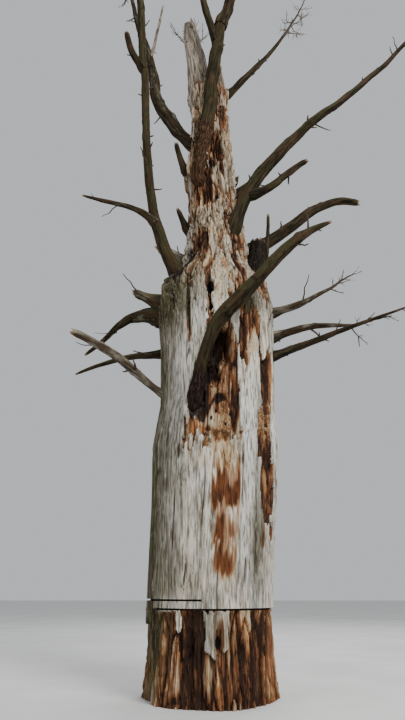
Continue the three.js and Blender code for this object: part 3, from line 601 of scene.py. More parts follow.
class Skin:
    """Points on the trunk's skin, with the wavering grain and the cells that its wood splits into."""

    def __init__(self, bearing, height):
        self.bearing = bearing
        self.height = height
        self.angle = np.radians(bearing)
        girth = np.interp(height, *GRAIN_GIRTH)
        circle = np.stack([np.cos(self.angle), np.sin(self.angle), height], -1)
        bend = 0.06 * noise(circle, (1.6, 1.6, 1.1), 3) + 0.025 * noise(circle, (5, 5, 2.6), 4)
        bent = self.angle + bend
        self.straight = np.stack([np.cos(bent) * girth, np.sin(bent) * girth, height], -1)
        self.fray = 0.26 * self.noise((15, 15, 2.0), 11) + 0.20 * self.noise((34, 34, 5), 12)
        self.broad = layered(self.straight, (2.6, 2.6, 0.8), 21)
        self.strip = blocks(self.straight, (7, 7, 0.45), 35, 0.05)
        self.slab = blocks(self.straight, (10, 10, 1.5), 71, 0.16)
        self.sliver = blocks(self.straight, (30, 30, 2.1), 73, 0.30)
        self.shred = blocks(self.straight, (60, 60, 4.2), 75, 0.40)
        self.from_uncut = np.abs(turn_from(UNDERCUT["middle"], bearing))
        self.cut_off = ramp(self.from_uncut - UNDERCUT["half"], 0, UNDERCUT["edge"])
        self.below = 1 - ramp(height, UNDERCUT["top"] - UNDERCUT["step"], UNDERCUT["top"])
        self.high_up = ramp(height, *UPPER_WOOD)
        self.stringy = ramp(height + 0.35 * self.broad + 0.3 * self.fray, *TORN_WOOD)
        self.lip = self.patch(SOFT_LIP, 0, 2, 0.6)

    def noise(self, scale, seed):
        return noise(self.straight, scale, seed)

    def off(self, mark):
        return off(self.bearing, self.height, mark[0], mark[1])

    def reach(self, mark):
        """0 at an oval mark's middle and 1 at its rim."""
        across, up = self.off(mark)
        return np.hypot(across / mark[2], up / mark[3])

    def patch(self, mark, ragged, power=2, soft=0.25):
        """1 inside an oval or squarish patch of the skin, 0 outside, with a ragged edge."""
        across, up = self.off(mark)
        reach = (np.abs(across / mark[2]) ** power + np.abs(up / mark[3]) ** power) ** (1 / power)
        return 1 - ramp(reach + ragged, 1 - soft, 1 + soft)

    def pointed(self, mark):
        """1 inside a tall slab that narrows to a point upwards."""
        across, up = self.off(mark)
        narrowing = np.clip(1.20 - 0.95 * ramp(up / mark[3], 0.1, 1.0), 0.15, 1.2)
        reach = np.maximum(np.abs(across) / (mark[2] * narrowing), np.abs(up / mark[3]))
        return 1 - ramp(reach + 0.35 * self.fray, 0.88, 1.0)

    def strongest(self, marks, ragged, soft):
        """Places that each have a strength of their own, the strongest at each point."""
        strength = np.zeros(len(self.height))
        for mark in marks:
            strength = np.maximum(strength, mark[4] * self.patch(mark, ragged, 2, soft))
        return strength


def rotten_places():
    """The source's rotten places, the back ones by its own run of numbers."""
    random = seeded(BACK_ROT["seed"])
    found = list(ROTTEN)
    for number in range(BACK_ROT["count"]):
        bearing = between(BACK_ROT["around"], next(random))
        height = between(BACK_ROT["up"], (number + next(random)) / BACK_ROT["count"])
        wide = between(BACK_ROT["wide"], next(random))
        tall = wide * between(BACK_ROT["stretch"], next(random))
        found.append((bearing, height, wide, tall, BACK_ROT["deep"]))
    return found


def back_marks(back_rot):
    """Sound patches, stains, hollows and cracks for the sides that the front's own lists leave bare."""
    random = np.random.default_rng(BACK_SEED)
    sound, stains, hollows, cracks = [], [], [], []
    for number, (bearing, height, wide, tall, _) in enumerate(back_rot):
        if number % 3 == 0:
            hollows.append((bearing + 3, height - 0.2 * tall, wide * 0.45, tall * 0.40, wide * 0.6, 0.6))
        sound.append((
            random.uniform(0, 188), 0.2 + 7.2 * random.uniform(0, 1), 0.07, random.uniform(0.2, 0.5), 4))
        stains.append((
            random.uniform(10, 185), random.uniform(0.9, 4.0), 0.06, random.uniform(0.1, 0.25), 0.7))
        low = random.uniform(0.9, 6.4)
        cracks.append((random.uniform(0, 190), low, low + random.uniform(0.3, 0.9)))
    return tuple(sound), tuple(stains), tuple(hollows), tuple(cracks)


ROTTEN_PLACES = rotten_places()
BACK_SOUND, BACK_STAINS, BACK_HOLLOWS, BACK_CRACKS = back_marks(ROTTEN_PLACES[len(ROTTEN):])


def sound_share(skin):
    """1 where the sound outer wood is left, and 0 where it has rotted off."""
    bearing = skin.bearing % 360
    height = skin.height
    cover = np.interp(height, *COVER)
    cover = np.where((height < BARE_FOOT["top"]) & (skin.cut_off > 0.3), BARE_FOOT["cover"], cover)
    between_cuts = ramp(bearing, *CUT_STRIP["start"]) * (1 - ramp(bearing, *CUT_STRIP["end"]))
    cover = cover - 0.8 * between_cuts * ((height > CUT_STRIP["low"]) & (height < CUT_STRIP["high"]))
    cover = cover + 0.20 * skin.broad + 0.22 * skin.slab.tone
    for mark in SOUND_PATCHES + BACK_SOUND:
        cover = np.maximum(cover, 1.15 * skin.patch(mark, skin.fray, mark[4]))
    for mark in ROT_PATCHES:
        cover = cover - 1.25 * skin.patch(mark, skin.fray, mark[4])
    torn = skin.fray + skin.lip * (1.3 * skin.sliver.tone + 0.25 * skin.shred.tone)
    for mark in ROTTEN_PLACES:
        cover = cover - 1.1 * skin.patch(mark, torn, 2.6)
    for mark in RAISED_SLABS:
        cover = np.maximum(cover, 1.2 * skin.pointed(mark))
    cover = cover + 0.34 * skin.sliver.tone + 0.22 * skin.shred.tone * (1 - 0.8 * skin.lip)
    return ramp(cover + 0.16 * skin.fray, 0.45 - 0.16 * skin.lip, 0.53 + 0.22 * skin.lip)


def sound_surface(skin):
    """The sound wood's long waves, grain and torn strips, with its cracks and the knot's ring."""
    checks = cracked(skin.straight, (13, 13, 0.75), 31, 0.12) * ramp(skin.noise((4, 4, 0.9), 32), -0.25, 0.3)
    out = 0.007 * skin.broad - 0.010 * checks + 0.0030 * skin.noise((34, 34, 1.6), 33)
    out = out + 0.006 * skin.strip.level - 0.006 * skin.strip.split
    waver = 0.014 * skin.noise((1, 1, 5), 34)
    for bearing, low, high in CRACKS + BACK_CRACKS:
        across, up = skin.off((bearing, (low + high) / 2))
        along_it = 1 - ramp(np.abs(up) / ((high - low) / 2), 0.5, 1.0)
        crack = along_it * (1 - ramp(np.abs(across + waver), 0.002, 0.014))
        out = out - 0.022 * crack
        checks = np.maximum(checks, crack)
    ring = skin.reach(KNOT) + 0.4 * skin.fray
    eye = np.exp(-((ring - 1) / 0.13) ** 2) * ramp(-skin.off(KNOT)[0], -0.02, 0.04)
    eye = eye + 0.6 * np.exp(-((ring - 0.4) / 0.15) ** 2)
    out = out - 0.012 * eye
    strips = 0.026 * skin.slab.level + 0.020 * skin.sliver.level + 0.010 * skin.shred.level
    strips = strips - 0.014 * skin.slab.split - 0.009 * skin.sliver.split - 0.004 * skin.shred.split
    set_back = skin.below * skin.cut_off * (skin.from_uncut > UNDERCUT["front"])
    out = out + strips * skin.stringy - 0.016 * set_back
    return out, checks, eye


def crumbly_share(skin):
    """1 where the rotten wood has gone to small brown crumbs."""
    height = skin.height
    crumbly = ramp(height, 2.2, 2.5) * (1 - ramp(height, 2.7, 3.2))
    crumbly = np.clip(crumbly + 0.8 * ramp(skin.noise((3, 3, 1.2), 44), 0.25, 0.6), 0, 1)
    crumbly = crumbly * ramp(skin.noise((8, 8, 3), 49), -0.55, -0.1) * (1 - 0.8 * ramp(height, 4.1, 4.4))
    return crumbly * (1 - skin.patch(FIBROUS, skin.fray, 2, 0.4))


def rotten_surface(skin, crumbly):
    """Rotten wood: slabs and slivers at different depths, or crumbs; then its unevenness alone."""
    stringy = 0.030 * skin.slab.level + 0.020 * skin.sliver.level + 0.012 * skin.shred.level
    stringy = stringy - 0.020 * skin.slab.split - 0.010 * skin.sliver.split - 0.005 * skin.shred.split
    stringy = stringy + 0.005 * skin.noise((48, 48, 3.6), 42)
    drift = np.stack([skin.noise((9, 9, 5), 47 + k) for k in range(3)], -1) * 0.022
    crumb = blocks(skin.straight + drift, (32, 32, 19), 43, 0.28, True)
    blocky = 0.020 * crumb.level - 0.009 * crumb.split + 0.022 * skin.slab.level
    uneven = stringy * (1 - crumbly) + blocky * crumbly
    worn = -UNDERCUT["deep"] * skin.below * skin.cut_off - 0.010 * skin.high_up
    worn = worn - 0.018 * (1 - skin.below) * (1 - skin.high_up)
    for mark in ROTTEN_PLACES:
        worn = np.minimum(worn, -mark[4] * (1 - ramp(skin.reach(mark), 0.8, 1.2)))
    return worn + uneven, uneven


def swollen(skin, out):
    """The skin with its raised slabs, the swelling at its throat, the shoulder and a bough's foot."""
    for mark in RAISED_SLABS:
        out = out + 0.014 * skin.pointed(mark)
    facing = ramp(-np.sin(skin.angle), 0.55, 0.90)
    out = out + facing * np.interp(skin.height, *THROAT)
    shoulder = skin.patch(SHOULDER, 0, 2, 0.6)
    out = out + 0.020 * shoulder + 0.008 * shoulder * skin.noise((9, 9, 4), 46)
    mound = skin.patch(BOUGH_FOOT, skin.fray, 2, 0.5)
    return out + mound * (0.030 + 0.012 * skin.noise((30, 30, 12), 48))


def scar_line(skin):
    """1 along a thin straight scar, and 0 off it."""
    start, end = SCAR_LINE
    across, up = skin.off(start)
    run_across, run_up = off(*end, *start)
    share = np.clip((across * run_across + up * run_up) / (run_across ** 2 + run_up ** 2), 0, 1)
    return 1 - ramp(np.hypot(across - share * run_across, up - share * run_up), 0.002, 0.009)


def hollowed(skin, out):
    """The skin with its hollows, the painted shade in them, and how far inside the lighter ones a point lies.
    """
    shade, inward = np.zeros((2, len(out)))
    ragged = 0.55 * skin.fray + 0.30 * (skin.sliver.tone + skin.slab.tone)
    for mark in HOLLOWS + BACK_HOLLOWS:
        bowl = np.sqrt(np.clip(1 - (skin.reach(mark) + ragged) ** 2, 0, 1))
        out = out - mark[4] * bowl
        # Painted shade, darker deeper into the bowl.
        shade = np.maximum(shade, mark[5] * ramp(bowl, 0.10, 0.70))
        inward = np.maximum(inward, bowl * (1 - mark[5]))
    return out, shade, inward


def saw_cut(skin):
    """1 inside a saw cut, and 0 outside."""
    cut = np.zeros(len(skin.height))
    for height, start, end in SAW_CUTS:
        is_level = np.abs(skin.height - height) < SAW_CUT_WIDTH / 2
        cut = np.maximum(cut, (((skin.bearing - start) % 360 < end - start) & is_level) * 1.0)
    return cut


def rust_runs(skin):
    """Stains that run down the wood, with a sharp foot and a faded top."""
    stain = np.zeros(len(skin.height))
    run_down = skin.noise((46, 46, 0.7), 81) + 0.5 * skin.noise((95, 95, 1.6), 82)
    for mark in STAINS + BACK_STAINS:
        across, up = skin.off(mark)
        side = 1 - ramp(np.abs(across / mark[2]) + 0.25 * run_down, 0.55, 1.15)
        foot = ramp(up / mark[3] + 0.45 * run_down, -1.30, -0.60)
        fading = 1 - ramp(up / mark[3] + 0.95 * run_down, -0.25, 1.25)
        stain = np.maximum(stain, mark[4] * side * foot * fading)
    return stain


def depth_shade_tone(skin, uneven, inward):
    """How dark the rotten wood is by how deep it lies, from 0 to 1: painted shade in its grooves, in the
    hollows and under the undercut, then paler and duskier at listed places.
    """
    low = np.clip(0.46 - uneven / 0.055, 0, 1)
    for places, tint in ((PALE_PLACES, -0.32), (DUSKY_PLACES, 0.34)):
        for mark in places:
            low = low + tint * skin.patch(mark, skin.fray, 2, 0.6)
    return np.clip(low + 0.06 * skin.below * skin.cut_off + 0.35 * inward, 0, 1)


def trunk_relief(bearing, height):
    """How far the skin stands in or out at each point, and the marks that the finish reads."""
    skin = Skin(bearing, height)
    sound = sound_share(skin)
    crumbly = crumbly_share(skin)
    outer, checks, eye = sound_surface(skin)
    inner, uneven = rotten_surface(skin, crumbly)
    scar = scar_line(skin)
    out = inner * (1 - sound) + (outer + 0.020 * skin.high_up) * sound
    out, shade, inward = hollowed(skin, swollen(skin, out) + 0.002 * scar)
    cut = saw_cut(skin)
    out = np.where(cut > 0, np.minimum(out - 0.012, -SAW_CUT_DEPTH), out)

    sound = sound * (1 - ramp(inward, 0.15, 0.4))
    # Char, and painted shade at the leader's foot.
    charred = skin.strongest(CHARRED_AND_SHADED, 1.6 * skin.fray, 0.2)
    # Painted shade in the cracks, the knot's ring and the joints between strips of sound wood.
    crevice_shade = (0.8 * checks + 0.8 * eye + 0.35 * skin.strip.split) * sound
    return out, {
        "sound": sound,
        "crumbly": crumbly,
        "stringy": skin.stringy,
        "low": depth_shade_tone(skin, uneven, inward),
        "tone": 0.5 + skin.sliver.tone * (1 - sound) + skin.strip.tone * sound,
        "gap": np.clip(0.9 * skin.sliver.split - 0.8 * skin.shred.level, 0, 1),
        "crevice_shade": np.clip(crevice_shade, 0, 1),
        # Black for charred wood, and painted shade in the hollows, the saw cuts and at the leader's foot.
        "char_and_shade": np.clip(np.maximum(np.maximum(shade, charred), cut), 0, 1),
        "stain": rust_runs(skin),
        "scar": scar,
        "moss": skin.strongest(MOSS_AND_SHADE, 0.6 * skin.fray, 0.7),
        "bleached": skin.strongest(BLEACHED, 0.6 * skin.fray, 0.7),
        "yellowed": skin.strongest(YELLOWED, 0.6 * skin.fray, 0.7),
    }


def rim_height(angle):
    """The ragged height of the trunk's broken top."""
    circle = np.stack([np.cos(angle), np.sin(angle), 0 * angle], -1)
    jag = sum(depth * noise(circle, (teeth, teeth, 1), seed) for depth, teeth, seed in RIM_JAGS)
    return TRUNK_BREAK - BREAK_SLANT * np.cos(angle) + jag - 0.04


def trunk_skin(angle, height, out):
    x, y, wide, deep = trunk_at(height)
    roots = ROOT_FLARE * np.exp(-height / ROOT_FLARE_HEIGHT) * np.cos(ROOTS * angle + FIRST_ROOT)
    flutes = np.sin(3 * angle) * np.cos(height / 0.9) + np.sin(7 * angle) * np.cos(height / 1.4)
    reach = roots + FLUTE * flutes + out
    return np.stack([x + np.cos(angle) * (wide + reach), y + np.sin(angle) * (deep + reach), height], -1)


def band_heights(low, high):
    """Even rows, with close pairs of rows at the lips of each saw cut."""
    heights = list(np.linspace(low, high, round((high - low) / TRUNK_ROW) + 1))
    half = SAW_CUT_WIDTH / 2
    for cut_height, _, _ in SAW_CUTS:
        if low < cut_height < high:
            heights = [h for h in heights if abs(h - cut_height) > half + CUT_LIP]
            heights += [cut_height + side * (half + step) for side in (-1, 1) for step in CUT_LIP_ROWS]
    return np.array(sorted(heights))


def trunk_band(number):
    """One joined band of the trunk; the top one closes over its broken end with a rotten pit."""
    low = TRUNK_BANDS[number]
    is_top = number == len(TRUNK_BANDS) - 1
    high = TRUNK_BREAK if is_top else TRUNK_BANDS[number + 1]
    heights = band_heights(low, high)
    inward = np.linspace(1, 0, PIT_ROWS)[1:] if is_top else np.array((0.0,))
    last = len(heights)

    def shape(angle, row):
        height = heights[np.clip(row - 1, 0, last - 1)]
        if is_top:
            height = low + (height - low) * (rim_height(angle) - low) / (high - low)
        out, marks = trunk_relief(np.degrees(angle), height)
        points = trunk_skin(angle, height, out)
        x, y, _, _ = trunk_at(height)
        middle = np.stack([x, y, height], -1)
        share = np.ones(len(row))
        past = row > last
        share[past] = inward[row[past] - last - 1]
        share[row == 0] = 0
        points = middle + (points - middle) * share[:, None]
        if is_top:
            pit = np.stack([points[:, 0], points[:, 1], 0 * height], -1)
            drop = 0.34 * ramp(1 - share, 0.0, 0.45)
            drop = drop + 0.10 * layered(pit, (9, 9, 9), 61) * ramp(1 - share, 0.0, 0.4)
            level = (TRUNK_BREAK - 0.06) * (1 - share) + height * share
            points[:, 2] = np.where(past, level - drop, points[:, 2])
            marks["sound"] = np.where(past, 0, marks["sound"])
            # Painted shade, darker towards the middle of the pit.
            marks["char_and_shade"] = np.where(past, ramp(1 - share, 0.1, 0.6) * 0.7, marks["char_and_shade"])
        return points, marks

    return tube(f"trunk_part_{number + 1}", TRUNK_COLUMNS, last + 1 + len(inward), shape)


# Limbs
def seat_of(limb, paths):
    """Where a limb's path starts: inside the trunk, or on the path of the limb that carries it."""
    if "on" not in limb:
        x, y, wide, deep = trunk_at(limb["height"])
        out = heading(limb["side"], 0) * limb["sunk"]
        return Vector((x + out.x * wide, y + out.y * deep, limb["height"]))
    return on_path(paths[limb["on"]], limb["along"])[1]


def limb_path(limb, paths):
    path = [seat_of(limb, paths)]
    for i in range(LIMB_STEPS):
        t = (i + 0.5) / LIMB_STEPS
        way = heading(along(limb["bearings"], t), along(limb["rises"], t))
        path.append(path[i] + way * (limb["length"] / LIMB_STEPS))
    stride = 1 if limb["length"] > LONG_LIMB else 2
    kept = path[::stride]
    if "foot" in limb:
        kept.insert(0, kept[0] - heading(limb["side"], 0) * limb["foot"] - Vector((0, 0, limb["foot"])))
    return kept


def smooth_path(points, spacing):
    """The path as close rings: centres, the share of the way at each, and the distance along it."""
    knots = np.array([tuple(p) for p in points])
    slopes = np.gradient(knots, axis=0)
    centres, shares = [knots[0]], [0.0]
    for i in range(len(knots) - 1):
        steps = max(2, round(float(np.linalg.norm(knots[i + 1] - knots[i])) / spacing))
        for k in range(1, steps + 1):
            t = k / steps
            a, b = 2 * t ** 3 - 3 * t ** 2 + 1, t ** 3 - 2 * t ** 2 + t
            c, d = -2 * t ** 3 + 3 * t ** 2, t ** 3 - t ** 2
            centres.append(a * knots[i] + b * slopes[i] + c * knots[i + 1] + d * slopes[i + 1])
            shares.append((i + t) / (len(knots) - 1))
    centres = np.array(centres)
    return centres, np.array(shares), distance_along(centres)


def distance_along(centres):
    steps = np.linalg.norm(np.diff(centres, axis=0), axis=1)
    return np.concatenate([[0], np.cumsum(steps)])


def radius_at(shares, radii):
    """The radius at each share of the way, from radii that stand at even steps."""
    return np.interp(shares, np.linspace(0, 1, len(radii)), radii)


def ring_frames(centres):
    """Unit directions along the path and crossways at each ring, turned as little as possible."""
    forward = np.gradient(centres, axis=0)
    forward /= np.linalg.norm(forward, axis=1)[:, None]
    across = np.zeros_like(centres)
    start = np.array((1.0, 0, 0)) if abs(forward[0][2]) > UPRIGHT else np.cross((0, 0, 1.0), forward[0])
    for i, way in enumerate(forward):
        start = start - way * start.dot(way)
        start = start / np.linalg.norm(start)
        across[i] = start
    return forward, across, np.cross(forward, across)


def knotted(out, angle, here, bumps, distance, radius):
    """The skin with its knots, each a low mound with a pit, and how far in a pit each point lies."""
    pits = np.zeros(len(out))
    for along_limb, around, size in bumps:
        local = np.interp(along_limb, distance, radius)
        gap_round = (angle - around + math.pi) % (2 * math.pi) - math.pi
        near = np.hypot(gap_round * local, here - along_limb) / (local * size * 0.75)
        out = out + local * (0.26 * np.exp(-near ** 2) - 0.22 * np.exp(-(near * 2.6) ** 2))
        pits = np.maximum(pits, np.exp(-(near * 2.2) ** 2))
    return out, pits


def end_teeth(angle, phase, seed):
    """How far each side of a broken end stands up, from 0 to 1."""
    rounds = np.stack([np.cos(angle), np.sin(angle), 0 * angle + phase], -1)
    teeth = 0.5 + 0.35 * noise(rounds, (1.6, 1.6, 1), seed + 8) + 0.35 * noise(rounds, (5, 5, 1), seed + 9)
    return np.clip(teeth + 0.2 * noise(rounds, (11, 11, 1), seed + 10), 0, 1)


def darkened_foot(lay, beyond, girth, burnt, seed):
    """How dark a limb is near its foot, which is char on some limbs and painted shade on others, and how far
    the crust there stands out.
    """
    burnt_to, roughness = burnt
    if not burnt_to:
        return np.zeros((2, len(girth)))
    rough = noise(lay, (26, 26, 14), seed + 11)
    black = 1 - ramp(beyond + 0.06 * rough, burnt_to * 0.55, burnt_to)
    lumps = 0.10 + 0.22 * rough + 0.14 * noise(lay, (60, 60, 34), seed + 12)
    return black, black * girth * roughness * lumps


def broken_end(teeth, beyond, share, reach):
    """A splintered end: how much it narrows, how far it reaches along the limb, and its bare wood."""
    tail = ramp(beyond + BROKEN_ROWS, 0, BROKEN_ROWS)
    past = beyond > 0
    capped = (teeth * share ** 0.5 - 0.85) * reach * (0.75 + 0.25 * share)
    axial = np.where(past, capped, tail * (teeth - 0.75) * reach)
    return 1 - 0.30 * tail * teeth, axial, np.maximum(tail * 0.8, past * 1.0)


def limb_tube(name, centres, radius, distance, seed, jag, columns, knots=0, collar=0.0, flat=1.0, skin_at=0.0,
              burnt=(0.0, 0.0)):
    """A limb's relief: grain, knots, a swelling where it leaves the wood it grows on, and its broken end."""
    forward, across, other = ring_frames(centres)
    random = np.random.default_rng(seed)
    rings = len(centres)
    length = distance[-1]
    mean = float(radius.mean())
    phase = random.uniform(0, 50)
    twist = random.uniform(-0.9, 0.9)
    bumps = [(random.uniform(0.12, 0.92) * length, random.uniform(0, 2 * math.pi), random.uniform(0.6, 1.2))
             for _ in range(knots)]
    cap = np.array(BROKEN_CAP if jag else ROUND_CAP)

    def shape(angle, row):
        ring = np.clip(row - 1, 0, rings - 1)
        here = distance[ring]
        girth = radius[ring]
        turn = angle + twist * here
        lay = np.stack([np.cos(turn) * girth, np.sin(turn) * girth, here + phase], -1)
        even = np.stack([np.cos(turn) * mean, np.sin(turn) * mean, here + phase], -1)
        swell = layered(even, (0.6 / mean, 0.6 / mean, 0.26 / mean), seed)
        ridges = noise(lay, (52, 52, 4), seed + 3)
        checks = cracked(lay, (24, 24, 1.8), seed + 5, 0.14)
        checks = checks * ramp(noise(lay, (9, 9, 1.5), seed + 6), -0.2, 0.4)
        out = girth * (0.15 * swell + 0.09 * ridges) - np.minimum(0.006, 0.10 * girth) * checks
        out, pits = knotted(out, angle, here, bumps, distance, radius)
        out = out + girth * collar * np.exp(-((here - skin_at) / (1.5 * girth)) ** 2)
        ribs = girth * 0.16 * collar * np.cos(5 * angle + phase)
        out = out + ribs * np.exp(-((here - skin_at) / (2 * girth)) ** 2)
        black, crust = darkened_foot(lay, here - skin_at, girth, burnt, seed)
        reach = girth + (out + crust)
        axial, bare = np.zeros((2, len(row)))
        share = np.ones(len(row))
        past = row > rings
        share[past] = cap[row[past] - rings - 1]
        share[row == 0] = 0
        if jag:
            teeth = end_teeth(angle, phase, seed)
            narrowing, axial, bare = broken_end(teeth, row - rings, share, jag * radius[-1])
            reach = reach * narrowing
        side = np.cos(angle)[:, None] * across[ring] + np.sin(angle)[:, None] * flat * other[ring]
        points = centres[ring] + side * (reach * share)[:, None] + forward[ring] * axial[:, None]
        return points, {
            "lay": lay,
            "bare": bare,
            "above": np.clip(side[:, 2], -1, 1),
            "burnt": black * 0.95,
            # Painted shade in the limb's cracks and in the pits of its knots.
            "crevice_shade": np.clip(checks * 0.8 + pits * 0.8, 0, 1),
        }

    return tube(name, columns, rings + 1 + len(cap), shape)


def skin_distance(centres, distance):
    """How far along a limb's path it leaves the trunk's skin."""
    x, y, wide, deep = trunk_at(centres[:, 2])
    reach = np.hypot((centres[:, 0] - x) / wide, (centres[:, 1] - y) / deep)
    outside = np.nonzero(reach > 1)[0]
    return distance[outside[0]] if len(outside) else 0.0


def rooted(centres, radius, side):
    """The limb carried back into the trunk from its first ring."""
    outward = np.array(heading(side, 0))
    back = -(centres[1] - centres[0]) / np.linalg.norm(centres[1] - centres[0]) - 1.1 * outward
    back = back / np.linalg.norm(back)
    steps = round(ROOT_REACH * radius[0] / LIMB_ROW)
    buried = [centres[0] + back * LIMB_ROW * k for k in range(steps, 0, -1)]
    return np.concatenate([buried, centres]), np.concatenate([np.full(steps, radius[0]), radius])


def limb_piece(name, path, limb, seed):
    """One limb from the trunk or the limb that carries it to its tip, swaying a little on the way."""
    centres, shares, distance = smooth_path(path, LIMB_ROW)
    radius = radius_at(shares, np.array(limb["radii"]) * SLIMNESS)
    on_trunk = "on" not in limb
    if on_trunk and "foot" not in limb:
        centres, radius = rooted(centres, radius, limb["side"])
        distance = distance_along(centres)
    sway_at = np.stack([distance, 0 * distance, 0 * distance + seed], -1)
    sway = 0.28 * np.stack([noise(sway_at, (2.6, 1, 1), seed + k) for k in (60, 61, 62)], -1)
    fade = ramp(distance, 0.0, STEADY_END)
    if "end" not in limb:
        fade = fade * (1 - ramp(distance, distance[-1] - STEADY_END, distance[-1]))
    centres = centres + sway * (radius * fade)[:, None]
    columns = int(np.clip(round(2 * math.pi * radius.mean() / LIMB_COLUMN), *LIMB_COLUMNS))
    skin_at = skin_distance(centres, distance) if on_trunk else radius[0]
    return limb_tube(
        f"{name}_wood", centres, radius, distance, seed, limb.get("end", 0), columns,
        knots=int(limb["length"] * KNOTS_PER_METRE), collar=LIMB_COLLAR, skin_at=skin_at,
        burnt=limb.get("burnt", (0.0, 0.0)))


def spire_piece():
    path = [SPIRE_FOOT.lerp(SPIRE_TIP, i / 5) for i in range(6)]
    centres, shares, distance = smooth_path(path, TRUNK_ROW)
    radius = radius_at(shares, SPIRE_RADII)
    return limb_tube("top_spire", centres, radius, distance, **SPIRE_TUBE)


def rim_splinters():
    """The source's broken slivers round the rim of the trunk's top."""
    random = seeded(SPLINTERS["seed"])
    start, end, last = SPLINTERS["start"], SPLINTERS["end"], SPLINTERS["count"] - 1
    rim = TRUNK_BREAK - BREAK_SLANT
    heights = np.array((rim - SPLINTERS["length"][1], rim))
    pieces = []
    for number in range(SPLINTERS["count"]):
        bearing = start + (end - start) * number / last
        length = between(SPLINTERS["length"], next(random))
        foot, seat = trunk_skin(np.radians([bearing, bearing]), heights, -SPLINTERS["girth"])
        tip = seat + np.array((0, 0, length + BREAK_SLANT))
        centres, shares, distance = smooth_path([Vector(p) for p in (foot, seat, tip)], TRUNK_ROW)
        radius = radius_at(shares, SPLINTERS["radii"])
        name = f"rim_splinter_{number + 1}"
        pieces.append(limb_tube(name, centres, radius, distance, SPLINTER_SEED + number, **SPLINTER_TUBE))
    return pieces


# Twigs
def twig_path(start, forward, lean, turn, length):
    upright = abs(forward.z) > UPRIGHT
    across = (Vector((1, 0, 0)) if upright else Vector((0, 0, 1))).cross(forward).normalized()
    across = Matrix.Rotation(math.radians(turn), 3, forward) @ across
    way = Matrix.Rotation(math.radians(lean), 3, across) @ forward
    middle = start + way * (length / 2)
    way = (way + Vector((0, 0, TWIG_LIFT))).normalized()
    return [start, middle, middle + way * (length / 2)]


def limb_segments(paths):
    """Every limb's path in straight pieces: first point, last point and radius."""
    rows = []
    for name, path in paths.items():
        for i in range(len(path) - 1):
            girth = along(LIMBS[name]["radii"], i / (len(path) - 1))
            rows.append((*path[i], *path[i + 1], girth))
    return np.array(rows)


def near_limb(point, radius, segments):
    x, y, wide, deep = (float(v) for v in trunk_at(point.z))
    reach = math.hypot((point.x - x) / wide, (point.y - y) / deep)
    if point.z < TRUNK_BREAK and (reach - 1) * wide < LIMB_CLEARANCE + radius:
        return True
    start, end = segments[:, 0:3], segments[:, 3:6]
    run = end - start
    here = np.array(tuple(point))
    share = np.clip(((here - start) * run).sum(1) / (run * run).sum(1), 0, 1)
    gap = np.linalg.norm(start + run * share[:, None] - here, axis=1)
    return bool((gap < segments[:, 6] + radius + LIMB_CLEARANCE).any())


def stem_path(bough, stem, random):
    """A mass's stem: it carries on from its bough's tip and wanders off its line."""
    forward = (bough[-1] - bough[-2]).normalized()
    path = [bough[-1].copy()]
    bearing = math.degrees(math.atan2(forward.y, forward.x))
    rise = math.degrees(math.asin(forward.z))
    for i in range(STEM_STEPS):
        way = forward if i == 0 else heading(bearing, rise)
        path.append(path[i] + way * (stem / STEM_STEPS))
        bearing += (next(random) - 0.5) * STEM_WANDER * 2
        rise += (next(random) - 0.5) * STEM_WANDER
    return path


def mass_twigs(on, stem, seed, paths, segments):
    """One mass's stem and twigs by the source's rule: path, first radius and last radius of each."""
    random = seeded(seed)
    path = stem_path(paths[on], stem, random)
    girth = LIMBS[on]["radii"][-1]
    stem_radii = (girth, girth * STEM_TIP_SHARE)
    middle = path[0].lerp(path[STEM_STEPS], SPACE_MIDDLE)
    grown = [(path, *stem_radii)]
    count = round(stem / TWIG_SPACING)

    def grow(start, forward, lean, turn, length, radius):
        twig = twig_path(start, forward, lean, turn, length)
        fits = (twig[2] - middle).length < stem * SPACE_SHARE
        kept = fits and not any(near_limb(point, radius, segments) for point in twig[1:])
        if kept:
            grown.append((twig, radius, max(THINNEST, radius * STEM_TIP_SHARE)))
        return twig, kept

    for i in range(count):
        t = TWIG_FIRST + (TWIG_LAST - TWIG_FIRST) * i / (count - 1)
        _, start, forward = on_path(path, t)
        lean = between(TWIG_LEAN, next(random))
        turn = i * TWIG_TURN + next(random) * TWIG_TURN_SPREAD
        length = stem * (between(TWIG_SHARE, next(random)) * (1 - TWIG_TAPER * t))
        radius = max(THINNEST + 0.001, along(stem_radii, t) * TWIG_GIRTH)
        twig, kept = grow(start, forward, lean, turn, length, radius)
        sprig_lean = between(TWIG_LEAN, next(random))
        sprig_turn = next(random) * 360
        if kept and length > FORKED_TWIG:
            way = (twig[2] - twig[1]).normalized()
            grow(twig[1], way, sprig_lean, sprig_turn, length * SPRIG_SHARE, radius * TWIG_GIRTH)
    return grown


def crooked(path, radii, random, wander, pieces):
    """A twig's path in short crooked pieces, with its radius at each point."""
    centres, shares, distance = smooth_path(path, max(0.01, (path[-1] - path[0]).length / pieces))
    kick = np.array([random.normal(0, wander * distance[-1], 3) for _ in centres])
    kick[0] = 0
    centres = centres + kick * np.minimum(1, distance / distance[-1] * 2)[:, None]
    return [(Vector(c), radii[0] + (radii[1] - radii[0]) * s) for c, s in zip(centres, shares)]


